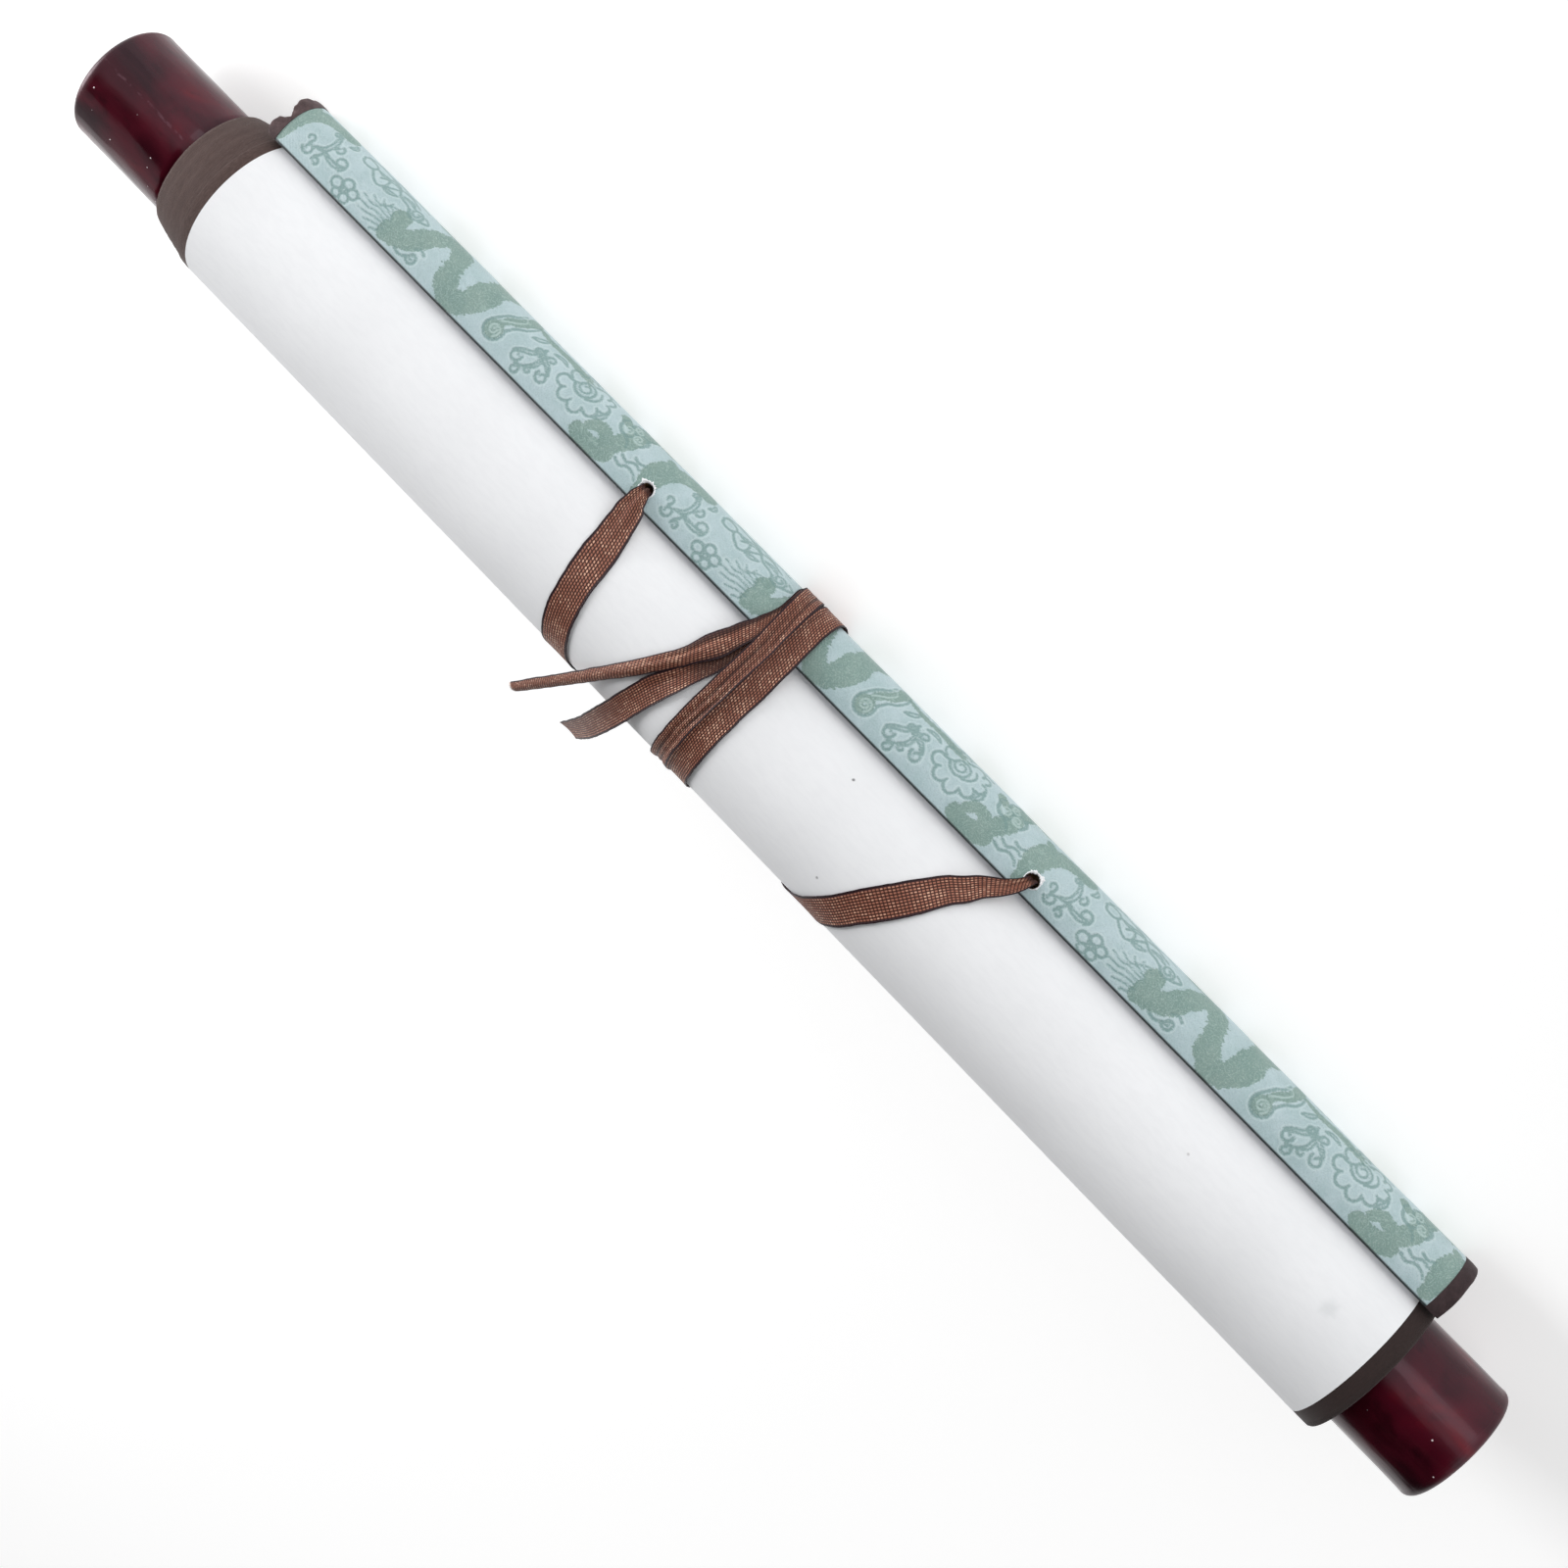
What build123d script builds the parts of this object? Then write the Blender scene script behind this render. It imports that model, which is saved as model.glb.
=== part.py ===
from build123d import *
import math
import os

# A small blank hanging scroll, rolled up and tied, lying on a surface.
# Millimetres. X runs along the roller, Z is up, and -Y is the side the stave lies on.

# ---- driving dimensions -------------------------------------------------
sheet_width = 350.0  # white back of the outermost turn
edging_width = 4.7  # brown edging that shows beyond the white
sheet_x = -8.45  # the outermost turn has slipped this far along the roller
roll_radius = 19.4
inner_turn_half = 180.1  # half the width of the innermost turn, edging included
cone_radius = 16.56  # where the slipped turns end, at the end they stick out
recess_radius = 16.3  # and at the end they are drawn in

core_radius = 6.5
tenon_radius = 5.0
tenon_length = 20.0

knob_radius = 15.0
knob_outer_x = 212.05
knob_inner_x = 180.6
knob_edge_round = 1.8
knob_inner_round = 0.5

stave_half_width = 9.5  # over the brocade
stave_side = 0.8  # straight side below the half round
cloth = 0.4
tongue_thickness = 0.35
brocade_half = 176.0
cap_half = 179.7
hole_radius = 1.9
hole_depth = 10.0
hole_angle = 69.8  # round the stave's curve, from the middle of its back
hole_x = (-58.3, 59.7)  # measured from the middle of the sheet

ribbon_thickness = 0.24
ribbon_gap = 0.10  # the ribbon's inner face stands this far off what it wraps
ribbon_pitch = 0.36  # from one layer to the next
flat_depth = 0.08  # small flat spot under the soft roll

# ---- resting attitude ---------------------------------------------------
# The roll lies on one layer of ribbon, the stave on two.
roll_rise = ribbon_gap + ribbon_thickness + 0.02
stave_rise = roll_rise + ribbon_pitch
axis_z = roll_radius + roll_rise
stave_reach = roll_radius + stave_side
stave_angle = math.degrees(
    math.acos((axis_z - stave_rise - stave_half_width) / stave_reach)
)  # from straight down, towards -Y


def direction(angle):
    """Unit (y, z) at an angle from straight down, turning towards -Y."""
    a = math.radians(angle)
    return (-math.sin(a), -math.cos(a))


front_y = stave_reach * math.sin(math.radians(stave_angle)) + stave_half_width
axis_y = (front_y - roll_radius) / 2.0  # the box is centred on Y = 0

out_y, out_z = direction(stave_angle)  # from the roll to the stave
near_y, near_z = direction(stave_angle + 90.0)  # along the stave's flat, upper side

# Frame of the stave: x along the stave, y along its flat, z out of the roll.
stave_plane = Plane(
    origin=(sheet_x, axis_y + roll_radius * out_y, axis_z + roll_radius * out_z),
    x_dir=(1, 0, 0),
    z_dir=(0, out_y, out_z),
)
# In that frame local y is z_dir x x_dir; this says which way the upper side lies.
near = 1.0 if (stave_plane.y_dir.Y * near_y + stave_plane.y_dir.Z * near_z) > 0 else -1.0


def revolved(points):
    """Solid of revolution about the roller's axis from (x, r) points."""
    line = Polyline(*[(x, r, 0.0) for x, r in points], close=True)
    face = make_face(line)
    solid = revolve(face, axis=Axis.X, revolution_arc=360)
    return Pos(0, axis_y, axis_z) * solid


def stave_profile(half, low, x0, x1):
    """Half-round bar from x0 to x1 in the stave's frame, its flat at height low."""
    outline = Polyline((-half, stave_side), (-half, low), (half, low), (half, stave_side))
    arc = ThreePointArc((half, stave_side), (0, stave_side + half), (-half, stave_side))
    section = make_face(outline + arc)
    # the section's x is the flat's direction and its y is the height
    plane = Plane(origin=(x0, 0, 0), x_dir=(0, 1, 0), z_dir=(1, 0, 0))
    return extrude(plane * section, amount=x1 - x0)


def bar(x0, x1, y0, y1, z0, z1):
    """Box between two corners, in whatever frame it is used."""
    return Pos((x0 + x1) / 2, (y0 + y1) / 2, (z0 + z1) / 2) * Box(
        x1 - x0, y1 - y0, z1 - z0
    )


def near_bar(x0, x1, u0, u1, v0, v1):
    """Box in the stave's frame, with u counted towards the upper side."""
    a, b = sorted((u0 * near, u1 * near))
    return bar(x0, x1, a, b, v0, v1)


# ---- roller and knobs ---------------------------------------------------
core = Pos(0, axis_y, axis_z) * (
    Rot(0, 90, 0) * Cylinder(core_radius, 2 * knob_inner_x)
    + Rot(0, 90, 0) * Cylinder(tenon_radius, 2 * (knob_inner_x + tenon_length))
)


def knob(side):
    """Turned knob with a blind socket for the tenon."""
    length = knob_outer_x - knob_inner_x
    body = Rot(0, 90, 0) * Cylinder(knob_radius, length)
    ends = body.edges().filter_by(GeomType.CIRCLE).sort_by(Axis.X)
    body = fillet(ends[-1], knob_edge_round)
    ends = body.edges().filter_by(GeomType.CIRCLE).sort_by(Axis.X)
    body = fillet(ends[0], knob_inner_round)
    socket_length = tenon_length + 1.0
    socket = Pos(-length / 2 + socket_length / 2, 0, 0) * (
        Rot(0, 90, 0) * Cylinder(tenon_radius, socket_length)
    )
    body = body - socket
    if side < 0:
        body = Rot(0, 0, 180) * body
    middle = side * (knob_inner_x + length / 2)
    return Pos(middle, axis_y, axis_z) * body


# ---- the rolled sheet and its edging ------------------------------------
half = sheet_width / 2
left_x, right_x = sheet_x - half, sheet_x + half
inner_white = inner_turn_half - edging_width
sheet = revolved(
    [
        (-inner_white, core_radius),
        (-inner_white, recess_radius),
        (left_x, roll_radius),
        (right_x, roll_radius),
        (inner_white, cone_radius),
        (inner_white, core_radius),
    ]
)
edge_left = revolved(
    [
        (-inner_white, core_radius),
        (-inner_white, recess_radius),
        (left_x, roll_radius),
        (left_x - edging_width + 0.55, roll_radius),
        (left_x - edging_width, roll_radius - 0.6),
        (-inner_turn_half, recess_radius),
        (-inner_turn_half, core_radius),
    ]
)
edge_right = revolved(
    [
        (inner_white, core_radius),
        (inner_white, cone_radius),
        (right_x, roll_radius),
        (right_x + 3.5, roll_radius - 0.3),
        (inner_turn_half, cone_radius),
        (inner_turn_half, core_radius),
    ]
)
# the last strip of the sheet leaves the roll and lies under the stave's flat
tongue = stave_plane * near_bar(
    -half + 0.6, half, -1.5, stave_half_width - cloth, -0.12, tongue_thickness
)
sheet = sheet + tongue
below = bar(-300, 300, axis_y - 40, axis_y + 40, -20, roll_rise + flat_depth)
sheet = sheet - below
edge_left = edge_left - below
edge_right = edge_right - below

# ---- the stave, its brocade and its end caps ----------------------------
wood_half = stave_half_width - cloth
wood_end = cap_half - 0.5
wood = stave_profile(wood_half, tongue_thickness, -wood_end, wood_end)
cover = stave_profile(stave_half_width, 0.0, -brocade_half, brocade_half)
cover = cover - stave_profile(wood_half, tongue_thickness, -brocade_half - 1, brocade_half + 1)
cover = cover - near_bar(
    -brocade_half - 1, brocade_half + 1, -2.0, wood_half, -1.0, tongue_thickness
)


def cap(side):
    """Cloth folded over one end of the stave."""
    x0, x1 = sorted((side * brocade_half, side * cap_half))
    body = stave_profile(stave_half_width, 0.0, x0, x1)
    outer = body.faces().sort_by(Axis.X)[-1 if side > 0 else 0]
    body = fillet(outer.edges(), 0.45)
    w0, w1 = sorted((side * (brocade_half - 1), side * wood_end))
    return body - stave_profile(wood_half, tongue_thickness, w0, w1)


def hole(x):
    """Drill for one ribbon, from the brocade's face into the stave."""
    a = math.radians(hole_angle)
    oy, oz = near * math.sin(a), math.cos(a)
    centre = stave_half_width + 1.0 - (hole_depth + 1.0) / 2
    tool = Cylinder(hole_radius, hole_depth + 1.0)
    plane = Plane(
        origin=(x, centre * oy, stave_side + centre * oz),
        x_dir=(1, 0, 0),
        z_dir=(0, oy, oz),
    )
    return plane * tool


# the stave's frame runs the same way as X, so a hole at photo x is at -x here
for x in hole_x:
    drill = hole(-x)
    wood = wood - drill
    cover = cover - drill

# ---- the ribbons --------------------------------------------------------
# Each ribbon is a strip on the outline that a tight band takes round the roll and
# the stave: arc of the roll, straight to the stave, arc of the stave, straight back.
# run counts along that outline from where the band meets the roll under the hole.
lean = math.degrees(math.asin((roll_radius - stave_half_width) / stave_reach))
touch = 90.0 - lean
roll_arc = roll_radius * math.radians(360.0 - 2 * touch)
bridge = math.sqrt(stave_reach**2 - (roll_radius - stave_half_width) ** 2)
stave_arc = stave_half_width * math.radians(2 * touch)
turn = roll_arc + 2 * bridge + stave_arc
stave_centre = (axis_y + stave_reach * out_y, axis_z + stave_reach * out_z)
first = stave_angle + touch
top_run = roll_radius * math.radians(180.0 - first)


def outline(run):
    """Point and outward direction (y, z) of the tight outline."""
    run = run % turn
    if run <= roll_arc:
        n = direction(first + math.degrees(run / roll_radius))
        return (axis_y + roll_radius * n[0], axis_z + roll_radius * n[1]), n
    run -= roll_arc
    if run <= bridge:
        n = direction(stave_angle - touch)
        a = (axis_y + roll_radius * n[0], axis_z + roll_radius * n[1])
        b = (
            stave_centre[0] + stave_half_width * n[0],
            stave_centre[1] + stave_half_width * n[1],
        )
        f = run / bridge
        return (a[0] + (b[0] - a[0]) * f, a[1] + (b[1] - a[1]) * f), n
    run -= bridge
    if run <= stave_arc:
        n = direction(stave_angle - touch + math.degrees(run / stave_half_width))
        return (
            stave_centre[0] + stave_half_width * n[0],
            stave_centre[1] + stave_half_width * n[1],
        ), n
    run -= stave_arc
    n = direction(first)
    b = (axis_y + roll_radius * n[0], axis_z + roll_radius * n[1])
    a = (
        stave_centre[0] + stave_half_width * n[0],
        stave_centre[1] + stave_half_width * n[1],
    )
    f = run / bridge
    return (a[0] + (b[0] - a[0]) * f, a[1] + (b[1] - a[1]) * f), n


def along(table, run):
    """Smooth value from a table of (run, value)."""
    if run <= table[0][0]:
        return table[0][1]
    if run >= table[-1][0]:
        (a, va), (b, vb) = table[-2], table[-1]
        return vb + (vb - va) / (b - a) * (run - b)
    i = 0
    while table[i + 1][0] < run:
        i += 1
    slopes = []
    for k in (i, i + 1):
        if 0 < k < len(table) - 1:
            slopes.append(
                (table[k + 1][1] - table[k - 1][1]) / (table[k + 1][0] - table[k - 1][0])
            )
        elif k == 0:
            slopes.append((table[1][1] - table[0][1]) / (table[1][0] - table[0][0]))
        else:
            slopes.append((table[-1][1] - table[-2][1]) / (table[-1][0] - table[-2][0]))
    (a, va), (b, vb) = table[i], table[i + 1]
    h = b - a
    t = (run - a) / h
    return (
        (2 * t**3 - 3 * t**2 + 1) * va
        + (t**3 - 2 * t**2 + t) * h * slopes[0]
        + (-2 * t**3 + 3 * t**2) * vb
        + (t**3 - t**2) * h * slopes[1]
    )


def flat_along(table, run):
    """Value from a table of (run, value) that never overshoots."""
    if run <= table[0][0]:
        return table[0][1]
    for (a, va), (b, vb) in zip(table, table[1:]):
        if run <= b:
            t = (run - a) / (b - a)
            t = t * t * (3 - 2 * t)
            return va + (vb - va) * t
    return table[-1][1]


class Tail:
    """The free end: it follows the roll, lifts off it and droops behind."""

    def __init__(self, lift, points):
        self.lift = lift  # run at which it leaves the roll
        self.points = [(axis_y + y, axis_z + z) for y, z in points]
        self.length = [0.0]
        for a, b in zip(self.points, self.points[1:]):
            self.length.append(self.length[-1] + math.dist(a, b))

    def at(self, run):
        s = run - self.lift
        s = min(max(s, 0.0), self.length[-1])
        i = 0
        while i < len(self.length) - 2 and self.length[i + 1] < s:
            i += 1
        a, b = self.points[i], self.points[i + 1]
        f = (s - self.length[i]) / (self.length[i + 1] - self.length[i])
        point = (a[0] + (b[0] - a[0]) * f, a[1] + (b[1] - a[1]) * f)

        def normal(k):
            k = min(max(k, 0), len(self.points) - 2)
            p, q = self.points[k], self.points[k + 1]
            d = math.dist(p, q)
            return (-(q[1] - p[1]) / d, (q[0] - p[0]) / d)

        # blend the directions of the pieces on both sides of each point
        g = normal(i)
        h = normal(i + 1) if f > 0.5 else normal(i - 1)
        w = abs(f - 0.5)
        n = (g[0] * (1 - w) + h[0] * w, g[1] * (1 - w) + h[1] * w)
        d = math.hypot(*n)
        return point, (n[0] / d, n[1] / d)


def hole_start(x, width):
    """Stations from the bottom of the hole to its mouth: centre, outward, width."""
    n = direction(stave_angle + hole_angle)
    t = direction(stave_angle + hole_angle + 90.0)
    stations = []
    for depth, mix in ((7.0, 0.0), (4.0, 0.0), (1.4, 0.0), (0.35, 0.35)):
        r = stave_half_width - depth
        centre = (stave_centre[0] + r * n[0], stave_centre[1] + r * n[1])
        o = (n[0] * mix - t[0] * (1 - mix), n[1] * mix - t[1] * (1 - mix))
        d = math.hypot(*o)
        stations.append((x, centre, (o[0] / d, o[1] / d), width))
    return stations


def strip(x_table, width_table, layer_table, tail, end, cut, columns=2):
    """Closed solid of one ribbon, as flat triangles."""
    mouth = x_table[0][0]
    # stations fall on each place where arc and straight meet
    spans = []
    for lap in (-1, 0, 1, 2):
        at = lap * turn
        for length, step in (
            (roll_arc, 2.8),
            (bridge, 4.2),
            (stave_arc, 1.9),
            (bridge, 4.2),
        ):
            spans.append((at, at + length, step))
            at += length
    runs = [mouth + 1.2]
    for low, high, step in spans:
        low, high = max(low, runs[-1]), min(high, end)
        if high - low < 0.9:
            continue
        count = math.ceil((high - low) / step)
        runs += [low + (high - low) * (i + 1) / count for i in range(count)]
    runs[-1] = end
    rings = []
    x0 = x_table[0][1]
    for x, centre, o, w in hole_start(x0, flat_along(width_table, mouth)):
        thick = 0.35
        row = []
        for k in range(columns + 1):
            q = (k / columns - 0.5) * w
            row.append(
                (
                    (x + q, centre[0] - o[0] * thick, centre[1] - o[1] * thick),
                    (x + q, centre[0] + o[0] * thick, centre[1] + o[1] * thick),
                )
            )
        rings.append(row)
    for r in runs:
        x = along(x_table, r)
        slope = (along(x_table, r + 0.5) - along(x_table, r - 0.5)) / 1.0
        c = 1.0 / math.hypot(1.0, slope)
        s = slope * c
        w = flat_along(width_table, r)
        layer = flat_along(layer_table, r)
        row = []
        for k in range(columns + 1):
            q = (k / columns - 0.5) * w
            rr = r - q * s
            if r >= end - 1e-6:
                rr += cut * q
            p, n = tail.at(rr) if rr > tail.lift else outline(rr)
            low = ribbon_gap + ribbon_pitch * layer
            high = low + ribbon_thickness
            row.append(
                (
                    (x + q * c, p[0] + n[0] * low, p[1] + n[1] * low),
                    (x + q * c, p[0] + n[0] * high, p[1] + n[1] * high),
                )
            )
        rings.append(row)

    faces = []

    def triangle(a, b, c):
        faces.append(Face(Wire.make_polygon([a, b, c], close=True)))

    def quad(a, b, c, d):
        # split on the diagonal that crosses the curved outline least
        if math.dist(a[1:], c[1:]) <= math.dist(b[1:], d[1:]):
            triangle(a, b, c)
            triangle(a, c, d)
        else:
            triangle(a, b, d)
            triangle(b, c, d)

    for near_row, far_row in zip(rings, rings[1:]):
        for k in range(columns):
            quad(near_row[k][0], near_row[k + 1][0], far_row[k + 1][0], far_row[k][0])
            quad(near_row[k][1], far_row[k][1], far_row[k + 1][1], near_row[k + 1][1])
        quad(near_row[0][0], far_row[0][0], far_row[0][1], near_row[0][1])
        quad(near_row[-1][0], near_row[-1][1], far_row[-1][1], far_row[-1][0])
    for row, turned in ((rings[0], False), (rings[-1], True)):
        for k in range(columns):
            a, b, c, d = row[k][0], row[k][1], row[k + 1][1], row[k + 1][0]
            if turned:
                a, b, c, d = d, c, b, a
            quad(a, b, c, d)
    solid = Solid(Shell(faces))
    if solid.volume < 0:
        solid = Solid(Shell([-f for f in faces]))
    length = 0.0
    middles = []
    for row in rings:
        m = row[columns // 2]
        middles.append([(m[0][i] + m[1][i]) / 2 for i in range(3)])
    for a, b in zip(middles, middles[1:]):
        length += math.dist(a, b)
    return solid, length, middles


def placed(table):
    """Tables give x from the middle of the sheet, the other way round."""
    return [(run, sheet_x - x) for run, x in table]


# The ribbons' routes: how far along the outline, and x from the middle of the sheet,
# counted the other way. One lap of the outline is 136.15 long.
route_right = [
    (-16.3, -58.3), (-12.5, -58.0), (-8.5, -56.8), (-4.2, -55.6), (0.0, -54.8),
    (7.0, -53.8), (14.0, -52.9), (21.0, -52.1), (28.0, -51.2), (35.0, -49.8),
    (42.0, -48.1), (49.0, -45.9), (56.0, -42.8), (63.0, -39.1), (70.0, -34.9),
    (76.0, -30.9), (80.8, -28.0), (89.6, -23.2), (98.4, -19.0), (102.4, -17.8),
    (106.5, -17.1), (110.6, -16.5), (114.6, -15.9), (118.5, -15.5), (127.3, -14.9),
    (136.1, -14.8), (143.1, -15.1), (150.1, -15.6), (157.1, -16.1), (164.1, -16.6),
    (171.1, -16.9), (178.1, -17.1), (185.1, -17.2), (192.1, -17.3), (199.1, -17.5),
    (206.1, -17.5), (212.1, -17.6), (217.0, -17.6), (225.7, -17.5), (234.6, -17.4),
    (238.5, -17.4), (242.6, -17.3), (246.7, -17.3), (250.7, -17.4), (254.7, -18.0),
    (263.4, -20.3), (272.3, -23.6), (279.3, -27.5), (286.3, -32.4), (293.3, -37.3),
    (300.3, -42.0), (307.3, -46.5), (314.3, -50.8), (320.3, -54.4),
]
route_left = [
    (-16.3, 59.7), (-12.5, 57.8), (-8.5, 54.4), (-4.2, 50.9), (0.0, 47.8), (7.0, 43.3),
    (14.0, 38.7), (21.0, 34.6), (28.0, 30.6), (35.0, 26.5), (42.0, 22.3), (49.0, 18.1),
    (56.0, 13.9), (63.0, 9.8), (70.0, 5.6), (76.0, 1.9), (80.8, -0.9), (89.6, -5.3),
    (98.4, -8.8), (102.4, -9.7), (106.5, -10.2), (110.6, -10.4), (114.6, -10.3),
    (118.5, -10.1), (127.3, -9.6), (136.1, -9.3), (143.1, -9.6), (150.1, -10.0),
    (157.1, -10.5), (164.1, -10.9), (171.1, -11.1), (178.1, -11.3), (185.1, -11.4),
    (192.1, -11.5), (199.1, -11.5), (206.1, -11.6), (212.1, -11.6), (217.0, -11.6),
    (225.7, -11.5), (234.6, -11.4), (238.5, -11.4), (242.6, -11.4), (246.7, -11.6),
    (250.7, -12.2), (254.7, -13.2), (263.4, -16.3), (272.3, -19.8), (279.3, -23.0),
    (286.3, -26.0), (293.3, -28.5), (300.3, -30.8), (307.3, -32.9), (314.3, -34.9),
    (321.3, -37.0), (328.3, -39.2), (335.3, -41.4), (344.7, -44.4),
]

tail_short = Tail(
    2 * turn + top_run - roll_radius * math.radians(33.0),
    [
        (-10.57, 16.27),
        (-8.84, 17.27),
        (-7.02, 18.11),
        (-5.14, 18.79),
        (-3.22, 19.33),
        (-1.26, 19.74),
        (0.72, 20.03),
        (2.71, 20.21),
        (6.91, 20.33),
        (11.11, 20.17),
        (15.29, 19.83),
        (19.47, 19.39),
        (23.64, 18.9),
        (28.38, 18.33),
    ],
)
tail_long = Tail(
    2 * turn + top_run - roll_radius * math.radians(28.0),
    [
        (-9.11, 17.13),
        (-7.3, 17.98),
        (-5.41, 18.65),
        (-3.48, 19.15),
        (-1.51, 19.49),
        (0.48, 19.67),
        (2.48, 19.71),
        (4.48, 19.62),
        (8.64, 19.04),
        (12.72, 18.04),
        (16.69, 16.7),
        (20.57, 15.09),
        (24.37, 13.28),
        (28.09, 11.34),
        (31.75, 9.29),
        (35.38, 7.17),
        (38.98, 5.01),
        (42.57, 2.83),
        (46.16, 0.65),
        (48.06, -0.52),
    ],
)

T, TT = turn, 2 * turn
upper, upper_length, upper_line = strip(
    placed(route_right),
    [
        (-16.3, 2.6),
        (-13.0, 3.9),
        (-8.0, 6.8),
        (-2.8, 7.7),
        (5.0, 8.0),
        (72.0, 8.0),
        (98.0, 6.0),
        (108.0, 5.4),
        (T, 5.2),
        (T + 31.0, 5.4),
        (TT - 26.0, 5.2),
        (TT - 13.5, 3.8),
        (TT - 3.0, 4.6),
        (TT + 12.0, 5.0),
        (TT + 48.0, 4.8),
    ],
    [
        (87.0, 0.0),
        (99.0, 1.0),
        (T - 30.0, 1.0),
        (T - 20.0, 2.0),
        (T - 1.0, 2.0),
        (T + 12.0, 0.0),
        (TT - 30.0, 0.0),
        (TT - 20.0, 1.0),
        (TT + 14.0, 1.0),
        (TT + 22.0, 0.0),
    ],
    tail_short,
    TT + 48.0,
    0.25,
)
lower, lower_length, lower_line = strip(
    placed(route_left),
    [
        (-16.3, 2.6),
        (-12.0, 3.8),
        (-6.5, 6.0),
        (-1.7, 7.1),
        (6.0, 7.9),
        (72.0, 8.0),
        (94.0, 5.6),
        (108.0, 5.0),
        (T, 5.0),
        (T + 31.0, 5.3),
        (TT - 28.0, 5.0),
        (TT - 12.0, 4.2),
        (TT, 6.0),
        (TT + 12.0, 6.6),
        (TT + 73.0, 7.2),
    ],
    [
        (87.0, 0.0),
        (99.0, 1.0),
        (T - 8.0, 1.0),
        (T + 8.0, 0.0),
    ],
    tail_long,
    TT + 72.4,
    0.3,
)
print("ribbon lengths mm", round(upper_length, 1), round(lower_length, 1))
print("stave angle", round(stave_angle, 3), "turn", round(turn, 2), "top run", round(top_run, 2))

parts = {
    "roller_core": core,
    "knob_left": knob(-1),
    "knob_right": knob(1),
    "paper_roll": sheet,
    "edging_left": edge_left,
    "edging_right": edge_right,
    "top_stave": stave_plane * wood,
    "brocade_cover": stave_plane * cover,
    "stave_cap_left": stave_plane * cap(-1),
    "stave_cap_right": stave_plane * cap(1),
    "ribbon_right": upper,
    "ribbon_left": lower,
}

os.makedirs("parts", exist_ok=True)
for name, shape in parts.items():
    solids = shape.solids()
    box = shape.bounding_box()
    print(name, len(solids), round(shape.volume, 1), box.min, box.max)
    export_step(shape, f"parts/{name}.step")
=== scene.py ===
import math

import bpy
import numpy as np
from mathutils import Matrix, Vector

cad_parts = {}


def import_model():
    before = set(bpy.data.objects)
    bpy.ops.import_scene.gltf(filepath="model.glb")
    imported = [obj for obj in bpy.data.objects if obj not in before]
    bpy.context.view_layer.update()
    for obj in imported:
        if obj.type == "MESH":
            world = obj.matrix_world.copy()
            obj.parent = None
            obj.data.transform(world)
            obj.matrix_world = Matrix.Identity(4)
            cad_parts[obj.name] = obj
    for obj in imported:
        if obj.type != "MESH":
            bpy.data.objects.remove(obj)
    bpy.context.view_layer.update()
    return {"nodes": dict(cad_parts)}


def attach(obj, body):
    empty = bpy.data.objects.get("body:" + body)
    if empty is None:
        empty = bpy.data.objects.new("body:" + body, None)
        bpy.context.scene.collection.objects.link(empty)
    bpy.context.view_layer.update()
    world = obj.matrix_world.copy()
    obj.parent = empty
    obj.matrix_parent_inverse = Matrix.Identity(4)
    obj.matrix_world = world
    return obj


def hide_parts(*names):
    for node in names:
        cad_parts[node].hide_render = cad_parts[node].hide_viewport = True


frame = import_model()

MM = 0.001

# ---- where things are, in millimetres -----------------------------------
SHEET_X = -8.45  # middle of the outermost turn
SHEET_HALF = 175.0
ROLL_R = 19.4
INNER_HALF = 180.1
CORE_R = 6.5
CONE_R = 16.56
RECESS_R = 16.3
EDGING = 4.7
KNOB_R = 15.0
KNOB_OUT = 212.05
KNOB_IN = 180.6
STAVE_R = 9.5
STAVE_SIDE = 0.8
BROCADE_HALF = 176.0
CAP_HALF = 179.7
HOLE_R = 1.9
HOLE_ANGLE = 69.8
HOLE_X = (-58.3, 59.7)  # from the middle of the sheet, counted towards -X
THICK = 0.24
GAP = 0.10
PITCH = 0.36
FLAT_Z = 0.44  # the roll's flat spot

roll_rise = GAP + THICK + 0.02
stave_rise = roll_rise + PITCH
AXIS_Z = ROLL_R + roll_rise
reach = ROLL_R + STAVE_SIDE
STAVE_ANGLE = math.degrees(math.acos((AXIS_Z - stave_rise - STAVE_R) / reach))
AXIS_Y = (reach * math.sin(math.radians(STAVE_ANGLE)) + STAVE_R - ROLL_R) / 2.0


def direction(angle):
    """Unit (y, z) at an angle from straight down, turning towards -Y."""
    a = math.radians(angle)
    return np.array((-math.sin(a), -math.cos(a)))


AXIS = np.array((AXIS_Y, AXIS_Z))
OUT = direction(STAVE_ANGLE)  # from the roll to the stave
NEAR = direction(STAVE_ANGLE + 90.0)  # along the stave's flat, upper side
STAVE_C = AXIS + reach * OUT
FLAT_C = AXIS + ROLL_R * OUT

lean = math.degrees(math.asin((ROLL_R - STAVE_R) / reach))
TOUCH = 90.0 - lean
ROLL_ARC = ROLL_R * math.radians(360.0 - 2 * TOUCH)
BRIDGE = math.sqrt(reach**2 - (ROLL_R - STAVE_R) ** 2)
STAVE_ARC = STAVE_R * math.radians(2 * TOUCH)
T = ROLL_ARC + 2 * BRIDGE + STAVE_ARC
TT = 2 * T
FIRST = STAVE_ANGLE + TOUCH
TOP_RUN = ROLL_R * math.radians(180.0 - FIRST)


def smooth(a, b, x):
    t = min(max((x - a) / (b - a), 0.0), 1.0)
    return t * t * (3 - 2 * t)


def hashed(*numbers):
    """Steady noise in 0..1 from whole numbers."""
    h = 0.0
    for i, n in enumerate(numbers):
        h += n * (12.9898 + 65.233 * i)
    return (math.sin(h) * 43758.5453) % 1.0


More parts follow.
